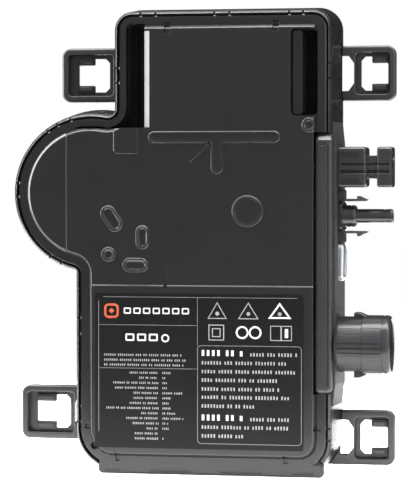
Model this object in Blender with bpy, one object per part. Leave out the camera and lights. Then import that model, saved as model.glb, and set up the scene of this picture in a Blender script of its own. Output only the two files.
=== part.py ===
"""Module-level micro inverter: a flat polymer box that hangs behind a solar panel.

Frame: origin at the bottom centre of the whole object, +X to the connector side, +Y to the back
and +Z up. Sizes below are millimetres, and every mesh is written in metres.
"""

from math import atan2, cos, pi, radians, sin, sqrt

import bmesh
import bpy
from mathutils import Vector

MM = 0.001

# Overall envelope
HEIGHT = 212.0
WIDTH = 175.0
DEPTH = 30.2
LEFT = -WIDTH / 2
RIGHT = WIDTH / 2
FRONT = -DEPTH / 2
REAR = DEPTH / 2
GAP = 0.3

# Body outline at the front rim, seen from the front
FLARE = 2.6
RIM_TOP = HEIGHT - FLARE
RIM_BOTTOM = 2.0
RIM_RIGHT = RIGHT - 27.0
LOWER_LEFT = LEFT + 31.5
TOP_LEFT = LEFT + 49.5
BULGE_RADIUS = 35.8
BULGE_X = LEFT + FLARE + BULGE_RADIUS
BULGE_Z = 127.7
TOP_CORNER = 8.0
BOTTOM_RIGHT_CORNER = 14.0
BOTTOM_LEFT_CORNER = 18.3
NECK_FILLET = 3.3
LOWER_FILLET = 2.0

# Levels from front to back
RIM_Y = FRONT + 3.1
LID_Y = RIM_Y + 0.4
LID_WALL = 2.0
LID_BACK = LID_Y + LID_WALL
LEDGE_Y = LID_BACK + GAP
PANEL_Y = FRONT + 1.0
CRESCENT_Y = PANEL_Y + 1.0
LABEL_PANEL_Y = FRONT + 0.2
EMBOSS_HEIGHT = 0.6
POCKET_Y = LID_Y + 2.6
LEFT_POCKET_LOW = 158.0
RIGHT_POCKET_LOW = 162.4
T_RIB_Z = 152.8
T_STEM_Z = 139.0
T_HALF_WIDTH = 2.6
DISC_Z = 119.6
DISC_RADIUS = 7.1
PLATE_THICKNESS = 3.0
PLATE_Y = REAR - PLATE_THICKNESS
TRAY_REAR = PLATE_Y - GAP
TRAY_WALL = 2.0
TRAY_FLOOR = TRAY_REAR - TRAY_WALL

# Lid, seal and label
LIP_WIDTH = 1.2
LID_CLEARANCE = 0.4
LID_INSET = LIP_WIDTH + LID_CLEARANCE
FLANGE_WIDTH = 4.7
PANEL_INSET = LID_INSET + FLANGE_WIDTH
SEAL_WIDTH = 1.2
SEAL_HEIGHT = 1.3
GROOVE_FLOOR = LEDGE_Y + SEAL_HEIGHT + GAP
LEDGE_BACK = GROOVE_FLOOR + 1.3
LEDGE_INSET = 4.2
APRON_LEFT = LOWER_LEFT + 10.0
APRON_RIGHT = RIM_RIGHT - 3.0
APRON_TOP = RIM_BOTTOM + 5.0
LABEL_LEFT = LOWER_LEFT + 9.4
LABEL_RIGHT = RIM_RIGHT - 11.6
LABEL_BOTTOM = RIM_BOTTOM + 10.3
LABEL_TOP = 82.4
LABEL_THICKNESS = 0.3
LABEL_PANEL_TOP = 86.2

# Connector side
SADDLE_LOW = 38.0
SADDLE_HIGH = 154.6
SADDLE_WIDTH = 5.6
SADDLE_PROUD = 1.6
PORT_SEAL = 0.9
SOCKET_Z = 139.3
PLUG_Z = 117.3
AC_Z = 59.3
AXIS_Y = 0.0
SOCKET_HEIGHT = 18.2
SOCKET_DEPTH = 15.6
SOCKET_BORE = 9.0
SOCKET_NECK = 10.4
BARREL_DIAMETER = 6.4
BARREL_BORE = 3.6
COLLAR_DIAMETER = 9.9
AC_DIAMETER = 26.6
AC_BORE = 22.4
ARM_OFFSET = 7.2
ARM_THICKNESS = 1.3
ARM_WIDTH = 5.0
ARM_ROOT_X = RIM_RIGHT + 6.4
ARM_TIP_X = RIM_RIGHT + 15.8
LENS_LOW = 88.0
LENS_HIGH = 105.0
LENS_HALF_DEPTH = 2.6
LIGHT_HOLE_HALF_DEPTH = 2.2
LIGHT_HOLE_INSET = 1.2

# Mounting ears
EAR_HEIGHT = 25.0
EAR_DEPTH = 8.0
EAR_BAR = 3.0
EAR_CORNER = 4.0
EAR_LEDGE = 4.0
SLOT_WIDE = 15.5
SLOT_NARROW = 9.4
SLOT_CHAMFER = 2.2
WEB = 3.0
WEB_HOLE_HALF = 8.0
TOP_EAR_DROP = 30.0
LEFT_LOW_EAR_Z = 25.2
RIGHT_LOW_EAR_Z = 16.0
TOP_LEFT_EAR_REACH = 29.7

# Board stack, counted forward from the tray floor
SPREADER_THICKNESS = 1.6
PAD_THICKNESS = 1.5
BOARD_THICKNESS = 1.6
SPREADER_Y = TRAY_FLOOR - GAP - SPREADER_THICKNESS
PAD_Y = SPREADER_Y - GAP - PAD_THICKNESS
BOARD_Y = PAD_Y - GAP - BOARD_THICKNESS
BOARD_INSET = 9.0
PART_Y = BOARD_Y - GAP
SPREADER_LOW = 30.0
SPREADER_HIGH = 150.0
PAD_MARGIN = 4.0
CORE_HALF_WIDTH = 16.0
CORE_HALF_HEIGHT = 13.0
CORE_TALL = 11.4
CORE_LIMB = 6.0
CORE_WINDOW = 12.0

# Fasteners of the mounting plate
SCREW_SHANK = 3.0
SCREW_HEAD = 5.6
SCREW_HEAD_HEIGHT = 2.0
SCREW_CLEARANCE = 0.3
BOSS_DIAMETER = 8.4
BOSS_HEIGHT = 4.0


def arc(centre_x, centre_z, radius, start, end, steps):
    """Points on an arc, angles in degrees, both ends included."""
    points = []
    for step in range(steps + 1):
        angle = radians(start + (end - start) * step / steps)
        points.append((centre_x + radius * cos(angle), centre_z + radius * sin(angle)))
    return points


def body_outline(grow, floor=0.0):
    """The box's outline moved out by grow, no lower than floor; its number of points never varies."""
    left = LOWER_LEFT - grow
    right = RIM_RIGHT + grow
    top = RIM_TOP + grow
    bottom = max(RIM_BOTTOM - grow, floor)
    neck = TOP_LEFT - grow
    bulge = BULGE_RADIUS + grow
    left_r = max(BOTTOM_LEFT_CORNER + grow, 0.4)
    right_r = max(BOTTOM_RIGHT_CORNER + grow, 0.4)
    top_r = max(TOP_CORNER + grow, 0.4)
    neck_r = max(NECK_FILLET - grow, 0.4)
    low_r = max(LOWER_FILLET - grow, 0.4)
    neck_x = neck - neck_r
    neck_z = BULGE_Z + sqrt((bulge + neck_r) ** 2 - (neck_x - BULGE_X) ** 2)
    low_x = left - low_r
    low_z = BULGE_Z - sqrt((bulge + low_r) ** 2 - (low_x - BULGE_X) ** 2)
    bulge_start = atan2(neck_z - BULGE_Z, neck_x - BULGE_X) * 180 / pi
    bulge_end = 360 + atan2(low_z - BULGE_Z, low_x - BULGE_X) * 180 / pi
    points = arc(left + left_r, bottom + left_r, left_r, 180, 270, 6)
    points += arc(right - right_r, bottom + right_r, right_r, 270, 360, 6)
    points += arc(right - top_r, top - top_r, top_r, 0, 90, 6)
    points += arc(neck + top_r, top - top_r, top_r, 90, 180, 6)
    points += arc(neck_x, neck_z, neck_r, 0, bulge_start - 180, 4)
    points += arc(BULGE_X, BULGE_Z, bulge, bulge_start, bulge_end, 30)[1:-1]
    points += arc(low_x, low_z, low_r, bulge_end - 180, 0, 3)
    return points


def wall_grow(y):
    """How far the drafted side wall stands outside the rim outline at depth y."""
    return FLARE * (y - RIM_Y) / (TRAY_REAR - RIM_Y)


def wall_x(y):
    """The connector side wall's X at depth y."""
    return RIM_RIGHT + wall_grow(y)


def rounded_box(low_u, low_v, high_u, high_v, radius, steps=3):
    """A rectangle with round corners as a list of points."""
    if radius <= 0:
        return [(low_u, low_v), (high_u, low_v), (high_u, high_v), (low_u, high_v)]
    points = arc(high_u - radius, low_v + radius, radius, -90, 0, steps)
    points += arc(high_u - radius, high_v - radius, radius, 0, 90, steps)
    points += arc(low_u + radius, high_v - radius, radius, 90, 180, steps)
    points += arc(low_u + radius, low_v + radius, radius, 180, 270, steps)
    return points


def skin(rings, closed=False):
    """A closed mesh over rings of (x, y, z) points in millimetres."""
    mesh = bmesh.new()
    rows = []
    for ring in rings:
        rows.append([mesh.verts.new(Vector(point) * MM) for point in ring])
    pairs = list(zip(rows, rows[1:]))
    if closed:
        pairs.append((rows[-1], rows[0]))
    for near, far in pairs:
        count = len(near)
        for index in range(count):
            after = (index + 1) % count
            mesh.faces.new((near[index], near[after], far[after], far[index]))
    if not closed:
        mesh.faces.new(rows[0])
        mesh.faces.new(rows[-1])
    bmesh.ops.recalc_face_normals(mesh, faces=mesh.faces)
    return mesh


def ring_at(points, y):
    """Outline points placed at depth y."""
    return [(x, y, z) for x, z in points]


def prism(points, low_y, high_y):
    """An outline in X and Z, extruded along Y."""
    return skin([ring_at(points, low_y), ring_at(points, high_y)])


def bar(points, low_x, high_x):
    """An outline in Y and Z, extruded along X."""
    rings = [[(x, y, z) for y, z in points] for x in (low_x, high_x)]
    return skin(rings)


def block(low, high):
    """A plain box between two corners."""
    (x0, y0, z0), (x1, y1, z1) = low, high
    return prism([(x0, z0), (x1, z0), (x1, z1), (x0, z1)], y0, y1)


def turned(profile, axis, centre, sides=24, closed=False):
    """A profile of (position, radius) pairs turned about the X, Y or Z axis through centre."""
    rings = []
    for along, radius in profile:
        ring = []
        for side in range(sides):
            angle = 2 * pi * (side + 0.5) / sides
            u, v = radius * cos(angle), radius * sin(angle)
            offset = {"X": (along, u, v), "Y": (u, along, v), "Z": (u, v, along)}[axis]
            ring.append(tuple(c + o for c, o in zip(centre, offset)))
        rings.append(ring)
    return skin(rings, closed)


def merged(meshes):
    """Several closed meshes that don't touch, held in one mesh."""
    total = bmesh.new()
    for mesh in meshes:
        lookup = {vert: total.verts.new(vert.co) for vert in mesh.verts}
        for face in mesh.faces:
            total.faces.new([lookup[vert] for vert in face.verts])
        mesh.free()
    return total


def principled(name, colour, roughness, metallic=0.0):
    """A plain Principled material."""
    finish = bpy.data.materials.new(name)
    finish.use_nodes = True
    shader = finish.node_tree.nodes["Principled BSDF"]
    shader.inputs["Base Color"].default_value = (*colour, 1.0)
    shader.inputs["Roughness"].default_value = roughness
    shader.inputs["Metallic"].default_value = metallic
    return finish


def add_part(name, mesh, finish, location=(0.0, 0.0, 0.0)):
    """A named object; its mesh is given about its own origin, which goes to location."""
    bmesh.ops.triangulate(mesh, faces=mesh.faces)
    data = bpy.data.meshes.new(name)
    mesh.to_mesh(data)
    mesh.free()
    data.shade_smooth()
    data.set_sharp_from_angle(angle=radians(35))
    part = bpy.data.objects.new(name, data)
    bpy.context.scene.collection.objects.link(part)
    part.location = Vector(location) * MM
    part.parent = inverter
    if finish is not None:
        data.materials.append(finish)
    return part


def shape_with(part, operation, mesh, label):
    """Join a mesh to a part, or cut it away, through a hidden tool object, which is returned."""
    tool = add_part(f"{part.name}_{label}", mesh, None)
    tool.hide_render = True
    tool.display_type = "WIRE"
    modifier = part.modifiers.new(label, "BOOLEAN")
    modifier.operation = operation
    modifier.solver = "EXACT"
    modifier.object = tool
    return tool


for old in list(bpy.data.objects):
    bpy.data.objects.remove(old, do_unlink=True)

inverter = bpy.data.objects.new("inverter", None)
bpy.context.scene.collection.objects.link(inverter)

shell_black = principled("shell_black", (0.045, 0.046, 0.050), 0.42)
lid_black = principled("lid_black", (0.030, 0.031, 0.034), 0.40)
frame_black = principled("frame_black", (0.055, 0.056, 0.060), 0.45)
connector_black = principled("connector_black", (0.080, 0.082, 0.088), 0.38)
label_black = principled("label_black", (0.012, 0.012, 0.013), 0.35)
seal_rubber = principled("seal_rubber", (0.020, 0.020, 0.022), 0.75)
clear_plastic = principled("clear_plastic", (0.70, 0.72, 0.74), 0.10)
led_white = principled("led_white", (0.85, 0.85, 0.80), 0.30)
tin_plate = principled("tin_plate", (0.75, 0.74, 0.70), 0.28, 1.0)
steel = principled("steel", (0.55, 0.56, 0.58), 0.35, 1.0)
copper = principled("copper", (0.80, 0.42, 0.24), 0.30, 1.0)
aluminium = principled("aluminium", (0.72, 0.73, 0.75), 0.35, 1.0)
board_green = principled("board_green", (0.03, 0.16, 0.07), 0.45)
pad_grey = principled("pad_grey", (0.42, 0.45, 0.50), 0.80)
ferrite = principled("ferrite", (0.06, 0.06, 0.065), 0.65)
chip_black = principled("chip_black", (0.02, 0.02, 0.02), 0.50)
can_blue = principled("can_blue", (0.10, 0.16, 0.30), 0.40)
film_grey = principled("film_grey", (0.45, 0.46, 0.48), 0.50)
terminal_green = principled("terminal_green", (0.10, 0.35, 0.18), 0.45)


def make_tray():
    """The deep tray: drafted wall, front lip, ledge with a seal groove, floor and screw bosses."""
    groove_out = -LID_INSET
    groove_in = groove_out - SEAL_WIDTH - 2 * GAP
    section = [
        (TRAY_REAR, FLARE),
        (RIM_Y, 0.0),
        (RIM_Y, -LIP_WIDTH),
        (LEDGE_Y, -LIP_WIDTH),
        (LEDGE_Y, groove_out),
        (GROOVE_FLOOR, groove_out),
        (GROOVE_FLOOR, groove_in),
        (LEDGE_Y, groove_in),
        (LEDGE_Y, -LEDGE_INSET),
        (LEDGE_BACK, -LEDGE_INSET),
        (LEDGE_BACK, wall_grow(LEDGE_BACK) - TRAY_WALL - 1.0),
        (TRAY_FLOOR, wall_grow(TRAY_FLOOR) - TRAY_WALL - 0.5),
    ]
    rings = [ring_at(body_outline(grow), y) for y, grow in section]
    tray = add_part("housing_tray", skin(rings), shell_black)
    bosses = [
        turned([(TRAY_FLOOR - BOSS_HEIGHT, BOSS_DIAMETER / 2), (TRAY_FLOOR + 0.8, BOSS_DIAMETER / 2)],
               "Y", (x, 0, z), 16)
        for x, z in screw_places()
    ]
    shape_with(tray, "UNION", merged(bosses), "bosses")
    holes = [
        turned([(TRAY_FLOOR - BOSS_HEIGHT + 1.2, SCREW_SHANK / 2 + SCREW_CLEARANCE),
                (TRAY_REAR + 1.0, SCREW_SHANK / 2 + SCREW_CLEARANCE)], "Y", (x, 0, z), 12)
        for x, z in screw_places()
    ]
    shape_with(tray, "DIFFERENCE", merged(holes), "screw_holes")
    notches = [
        block((APRON_LEFT - GAP, RIM_Y - 1, -1), (APRON_RIGHT + GAP, LEDGE_Y, APRON_TOP + GAP)),
        block((RIM_RIGHT - LIP_WIDTH - 0.3, RIM_Y - 1, SADDLE_LOW - GAP),
              (RIM_RIGHT + 3, LEDGE_Y, SADDLE_HIGH + GAP)),
    ]
    shape_with(tray, "DIFFERENCE", merged(notches), "rim_gaps")
    ports = [port(radius, z) for radius, z in shanks()]
    ports.append(light_hole())
    shape_with(tray, "DIFFERENCE", merged(ports), "wall_ports")


def shank_radius(diameter):
    """Radius of a connector where it passes the wall, kept clear of the lid ledge."""
    return min(diameter / 2 - 1.2, AXIS_Y - LEDGE_BACK - 0.8)


def shanks():
    """Radius and height of each connector's shank."""
    return [(shank_radius(SOCKET_HEIGHT), SOCKET_Z), (shank_radius(COLLAR_DIAMETER), PLUG_Z),
            (shank_radius(AC_DIAMETER), AC_Z)]


def port(radius, z):
    """A cutter for a shank's hole through the connector side."""
    reach = radius + GAP
    return turned([(RIM_RIGHT - 9, reach), (RIM_RIGHT + 9, reach)], "X", (0, AXIS_Y, z), 24)


def light_hole():
    """A cutter for the light guide's hole through the connector side."""
    low = (RIM_RIGHT - 9, AXIS_Y - LIGHT_HOLE_HALF_DEPTH, LENS_LOW + LIGHT_HOLE_INSET)
    high = (RIM_RIGHT + 9, AXIS_Y + LIGHT_HOLE_HALF_DEPTH, LENS_HIGH - LIGHT_HOLE_INSET)
    return block(low, high)


def screw_places():
    """Centres of the plate screws, each tied to the nearest corner or wall."""
    return [
        (TOP_LEFT + 9.0, RIM_TOP - 9.0),
        (RIM_RIGHT - 9.0, RIM_TOP - 9.0),
        (BULGE_X - BULGE_RADIUS + 9.0, BULGE_Z),
        (RIM_RIGHT - 9.0, 98.0),
        (LOWER_LEFT + 10.5, RIM_BOTTOM + 11.0),
        (RIM_RIGHT - 10.0, RIM_BOTTOM + 10.5),
    ]


def make_lid():
    """The front lid: flange, raised panel, label field, embossed marks, side pockets and apron."""
    lid = add_part("front_lid", prism(body_outline(-LID_INSET), LID_Y, LID_BACK), lid_black)
    panel_rings = [
        ring_at(body_outline(-PANEL_INSET), LID_BACK - 0.4),
        ring_at(body_outline(-PANEL_INSET), LABEL_PANEL_Y + 1.6),
        ring_at(body_outline(-PANEL_INSET - 0.35), LABEL_PANEL_Y + 0.6),
        ring_at(body_outline(-PANEL_INSET - 1.2), LABEL_PANEL_Y),
    ]
    shape_with(lid, "UNION", skin(panel_rings), "panel")
    apron = rounded_box(APRON_LEFT, 0.0, APRON_RIGHT, APRON_TOP, 2.5)
    shape_with(lid, "UNION", prism(apron, LID_Y, LID_BACK), "apron")
    upper_field = block((LEFT, FRONT - 3, LABEL_PANEL_TOP), (RIGHT, PANEL_Y, HEIGHT + 5))
    shape_with(lid, "DIFFERENCE", upper_field, "upper_field")
    crescent = block((LEFT, FRONT - 3, 90.0), (BULGE_X - 11.2, CRESCENT_Y, BULGE_Z + 40.0))
    shape_with(lid, "DIFFERENCE", crescent, "crescent")
    shape_with(lid, "UNION", merged(embossed_marks()), "marks")
    label_field = block((LABEL_LEFT - GAP, FRONT - 1, LABEL_BOTTOM - GAP),
                        (LABEL_RIGHT + GAP, FRONT + 0.3 + LABEL_THICKNESS, LABEL_TOP + GAP))
    shape_with(lid, "DIFFERENCE", label_field, "label_field")
    tubs = [prism(points, LID_BACK - 1.0, POCKET_Y + LID_WALL) for points in pocket_outlines(LID_WALL)]
    shape_with(lid, "UNION", merged(tubs), "pocket_tubs")
    pockets = [prism(points, FRONT - 1.0, POCKET_Y) for points in pocket_outlines(0.0)]
    shape_with(lid, "DIFFERENCE", merged(pockets), "pockets")
    saddle_gap = block((RIM_RIGHT - SADDLE_WIDTH - GAP, RIM_Y - 5, SADDLE_LOW - GAP),
                       (RIM_RIGHT + 3, LID_BACK + 1, SADDLE_HIGH + GAP))
    shape_with(lid, "DIFFERENCE", saddle_gap, "saddle_gap")
    hollow = prism(body_outline(-PANEL_INSET - LID_WALL), PANEL_Y + LID_WALL, LID_BACK + 1.0)
    hollow_tool = shape_with(lid, "DIFFERENCE", hollow, "hollow")
    tubs = [prism(points, PANEL_Y, POCKET_Y + LID_WALL + 1.0) for points in pocket_outlines(LID_WALL + 0.01)]
    shape_with(hollow_tool, "DIFFERENCE", merged(tubs), "tubs")


def pocket_outlines(grow):
    """The two deep pockets beside the centre column, grown outward for their walls."""
    neck = TOP_LEFT + PANEL_INSET + 0.6
    left = rounded_box(neck - grow, LEFT_POCKET_LOW - grow, TOP_LEFT + 14.0 + grow,
                       RIM_TOP - 9.4 + grow, 2.0)
    right = rounded_box(RIM_RIGHT - 17.5 - grow, RIGHT_POCKET_LOW - grow, RIM_RIGHT - PANEL_INSET - 0.3 + grow,
                        RIM_TOP - 8.1 + grow, 2.0)
    return [left, right]


def capsule(low_x, low_z, high_x, high_z):
    """A bar with full round ends along its longer side."""
    radius = min(high_x - low_x, high_z - low_z) / 2 * 0.999
    return rounded_box(low_x, low_z, high_x, high_z, radius, 4)


def tilted(points, centre, degrees):
    """An outline turned about a centre in the X-Z plane."""
    turn = radians(degrees)
    result = []
    for x, z in points:
        dx, dz = x - centre[0], z - centre[1]
        new_x = centre[0] + dx * cos(turn) - dz * sin(turn)
        new_z = centre[1] + dx * sin(turn) + dz * cos(turn)
        result.append((new_x, new_z))
    return result


def embossed_marks():
    """The low raised marks: a T-shaped rib, a disc, rounded bars and dots."""
    low = PANEL_Y + 0.4
    high = PANEL_Y - EMBOSS_HEIGHT
    t_left, t_right = LOWER_LEFT + 34.0, RIM_RIGHT - 22.5
    stem = 9.4 + (RIM_RIGHT - 60.5) / 2
    half = T_HALF_WIDTH
    rib = arc(t_right - half, T_RIB_Z, half, -90, 90, 6) + arc(t_left + half, T_RIB_Z, half, 90, 270, 6)
    rib += [(stem - half - 0.2, T_RIB_Z - half)]
    rib += arc(stem, T_STEM_Z, half + 0.1, 180, 360, 6)
    rib += [(stem + half + 0.2, T_RIB_Z - half)]
    marks = [
        prism(rib, high, low),
        prism(arc(RIM_RIGHT - 37.2, DISC_Z, DISC_RADIUS, 0, 345, 23), high, low),
        prism(tilted(capsule(-6.5, -3.65, 6.5, 3.65), (0, 0), -30), high, low),
        prism(capsule(-3.2, -5.5, 3.2, 5.5), high, low),
        prism(arc(0, 0, 3.4, 0, 337.5, 15), high, low),
        prism(capsule(-6.0, -3.3, 6.0, 3.3), high, low),
    ]
    for mesh, place in zip(marks[2:], mark_places()):
        bmesh.ops.translate(mesh, vec=Vector((place[0], 0, place[1])) * MM, verts=mesh.verts)
    return marks


def mark_places():
    """Centres of the four small marks on the bulge."""
    return [(BULGE_X + 10.4, 116.1), (BULGE_X + 25.1, 107.7), (BULGE_X + 9.4, 99.9), (BULGE_X + 21.8, 95.1)]


def make_seal():
    """The rubber ring in the ledge groove."""
    outer = -LID_INSET - GAP
    inner = outer - SEAL_WIDTH
    front = LEDGE_Y
    back = front + SEAL_HEIGHT
    section = [(front, outer), (front, inner), (back, inner), (back, outer)]
    rings = [ring_at(body_outline(grow), y) for y, grow in section]
    add_part("lid_seal", skin(rings, closed=True), seal_rubber)


def make_label():
    """The printed film in its field on the lid."""
    points = rounded_box(LABEL_LEFT, LABEL_BOTTOM, LABEL_RIGHT, LABEL_TOP, 1.5)
    add_part("rating_label", prism(points, FRONT, FRONT + LABEL_THICKNESS), label_black)


def ear_layouts():
    """Each ear as: side, outer end, slot outer end, slot step, slot inner end, hole at the wall, Z."""
    top = HEIGHT - TOP_EAR_DROP
    return [
        {"name": "top_left", "side": -1, "outer": -(TOP_LEFT - TOP_LEFT_EAR_REACH), "z": top,
         "slot": (-TOP_LEFT + 7.8, -TOP_LEFT + 14.8, -TOP_LEFT + 22.4)},
        {"name": "top_right", "side": 1, "outer": RIGHT, "z": top,
         "slot": (RIM_RIGHT + 11.0, RIM_RIGHT + 16.0, RIM_RIGHT + 23.2)},
        {"name": "bottom_left", "side": -1, "outer": -LEFT, "z": LEFT_LOW_EAR_Z,
         "slot": (-LOWER_LEFT + 8.8, -LOWER_LEFT + 15.2, -LOWER_LEFT + 24.6)},
        {"name": "bottom_right", "side": 1, "outer": RIGHT, "z": RIGHT_LOW_EAR_Z,
         "slot": (RIM_RIGHT + 11.0, RIM_RIGHT + 16.0, RIM_RIGHT + 23.2)},
    ]


def facing(points, side):
    """Outline points mirrored for an ear on the left."""
    return [(side * x, z) for x, z in points]


def make_mounting_plate():
    """The back plate with four ears, each with a keyhole slot for the rail bolt."""
    half = EAR_HEIGHT / 2
    ear_front = REAR - EAR_DEPTH
    ears = []
    for ear in ear_layouts():
        side, outer, z = ear["side"], ear["outer"], ear["z"]
        root = ear["slot"][0] - WEB - 18.0
        outline = facing(arc(outer - EAR_CORNER, z - half + EAR_CORNER, EAR_CORNER, -90, 0, 4)
                         + arc(outer - EAR_CORNER, z + half - EAR_CORNER, EAR_CORNER, 0, 90, 4)
                         + [(root, z + half), (root, z - half)], side)
        ears.append(prism(outline, ear_front, REAR))
    plate = add_part("mounting_plate", merged(ears), frame_black)
    clearance = skin([
        ring_at(body_outline(wall_grow(ear_front - 2) + GAP, -5.0), ear_front - 2),
        ring_at(body_outline(FLARE + GAP, -5.0), TRAY_REAR),
        ring_at(body_outline(FLARE + GAP, -5.0), PLATE_Y + 1.0),
    ])
    shape_with(plate, "DIFFERENCE", clearance, "tray_room")
    shape_with(plate, "UNION", prism(body_outline(FLARE), PLATE_Y, REAR), "back")
    slots, shelves, lightening = [], [], []
    for ear in ear_layouts():
        side, outer, z = ear["side"], ear["outer"], ear["z"]
        inner, step, far = ear["slot"]
        wide, narrow = SLOT_WIDE / 2, SLOT_NARROW / 2
        chamfer = SLOT_CHAMFER
        keyhole = [(inner, z - wide + chamfer), (inner + chamfer, z - wide), (step, z - wide),
                   (step, z - narrow), (far, z - narrow), (far, z + narrow), (step, z + narrow),
                   (step, z + wide), (inner + chamfer, z + wide), (inner, z + wide - chamfer)]
        slots.append(prism(facing(keyhole, side), ear_front - 1, REAR + 1))
        shelf = rounded_box(inner + 0.4, z - half + EAR_BAR, outer - EAR_BAR, z + half - EAR_BAR, 1.0)
        shelves.append(prism(facing(shelf, side), ear_front - 1, REAR - EAR_LEDGE))
        web_inner = inner - WEB
        wall = web_inner - ear_hole_width(ear)
        cut = min(2.5, (web_inner - wall) * 0.6)
        low, high = z - WEB_HOLE_HALF, z + WEB_HOLE_HALF
        hole = [(wall, low), (web_inner - cut, low), (web_inner, low + 3.5), (web_inner, high - 3.5),
                (web_inner - cut, high), (wall, high)]
        lightening.append(prism(facing(hole, side), ear_front - 1, REAR + 1))
    shape_with(plate, "DIFFERENCE", merged(slots), "keyholes")
    shape_with(plate, "DIFFERENCE", merged(shelves), "shelves")
    shape_with(plate, "DIFFERENCE", merged(lightening), "web_holes")
    holes = []
    for x, z in screw_places():
        shank = SCREW_SHANK / 2 + SCREW_CLEARANCE
        head = SCREW_HEAD / 2 + SCREW_CLEARANCE
        seat = REAR - SCREW_HEAD_HEIGHT - SCREW_CLEARANCE - 0.2
        holes.append(turned([(PLATE_Y - 1, shank), (seat, shank), (seat, head), (REAR + 1, head)],
                            "Y", (x, 0, z), 12))
    shape_with(plate, "DIFFERENCE", merged(holes), "screw_holes")
    shape_with(plate, "DIFFERENCE", merged(rib_pockets()), "rib_pockets")


def ear_hole_width(ear):
    """Width of the hole from an ear's web to just inside the body wall."""
    wall = {"top_left": -TOP_LEFT, "bottom_left": -LOWER_LEFT}.get(ear["name"], RIM_RIGHT) + FLARE
    return ear["slot"][0] - WEB - wall + 0.5


def rib_pockets():
    """Shallow pockets that leave a grid of ribs on the back of the plate."""
    left, right = LOWER_LEFT + 16.0, RIM_RIGHT - 16.0
    low, high = RIM_BOTTOM + 20.0, RIM_TOP - 24.0
    columns, rows, rib = 4, 7, 2.4
    cell_w = (right - left - rib * (columns - 1)) / columns
    cell_h = (high - low - rib * (rows - 1)) / rows
    pockets = []
    for row in range(rows):
        for column in range(columns):
            x = left + column * (cell_w + rib)
            z = low + row * (cell_h + rib)
            if x < TOP_LEFT + 4 and z + cell_h > BULGE_Z + 22:
                continue
            pockets.append(prism(rounded_box(x, z, x + cell_w, z + cell_h, 1.5, 2), REAR - 1.5, REAR + 1))
    return pockets


def make_plate_screws():
    """Pan-head screws that hold the plate to the tray bosses."""
    seat = REAR - SCREW_HEAD_HEIGHT - 0.2
    tip = TRAY_FLOOR - BOSS_HEIGHT + 1.2 + GAP
    head = SCREW_HEAD / 2
    drive = 1.3
    profile = [(tip, SCREW_SHANK / 2 - 0.4), (tip + 0.6, SCREW_SHANK / 2), (seat, SCREW_SHANK / 2),
               (seat, head), (REAR - 0.8, head), (REAR - 0.2, head - 0.7), (REAR - 0.2, drive),
               (REAR - 1.2, drive)]
    for number, (x, z) in enumerate(screw_places(), start=1):
        add_part(f"plate_screw_{number}", turned(profile, "Y", (0, 0, 0), 12), steel, (x, 0, z))


def make_saddle():
    """The clamp strip on the rim beside the connectors."""
    outer = RIM_RIGHT + SADDLE_PROUD * 0.5
    inner = RIM_RIGHT - SADDLE_WIDTH
    points = rounded_box(inner, SADDLE_LOW, outer, SADDLE_HIGH, 2.4)
    add_part("connector_clamp_strip", prism(points, RIM_Y - 0.3, LEDGE_Y - GAP), shell_black)


def make_bulkhead():
    """The side plate that carries the connectors, with ramped ends that follow the drafted wall."""
    front, back = LEDGE_Y + 0.2, TRAY_REAR - 1.2
    rings = []
    for z, proud in ((SADDLE_LOW - 6, 0.5), (SADDLE_LOW + 4, SADDLE_PROUD),
                     (SADDLE_HIGH - 4, SADDLE_PROUD), (SADDLE_HIGH + 5, 0.5)):
        rings.append([(wall_x(front) + GAP, front, z), (wall_x(front) + proud, front, z),
                      (wall_x(back) + proud, back, z), (wall_x(back) + GAP, back, z)])
    bulkhead = add_part("connector_bulkhead", skin(rings), shell_black)
    ports = [port(radius, z) for radius, z in shanks()]
    ports.append(light_hole())
    shape_with(bulkhead, "DIFFERENCE", merged(ports), "ports")


def seal_x():
    """X where connector bodies and their seals start, clear of the bulkhead's proudest corner."""
    return wall_x(AXIS_Y + 9.0) + SADDLE_PROUD + GAP


def seal_groove(radius, z):
    """A cutter for the ring groove in the back of a connector body."""
    section = [(seal_x() - 1.0, radius), (seal_x() - 1.0, radius + 2.1),
               (seal_x() + PORT_SEAL + GAP, radius + 2.1), (seal_x() + PORT_SEAL + GAP, radius)]
    return turned(section, "X", (0, AXIS_Y, z), 20, closed=True)


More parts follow.
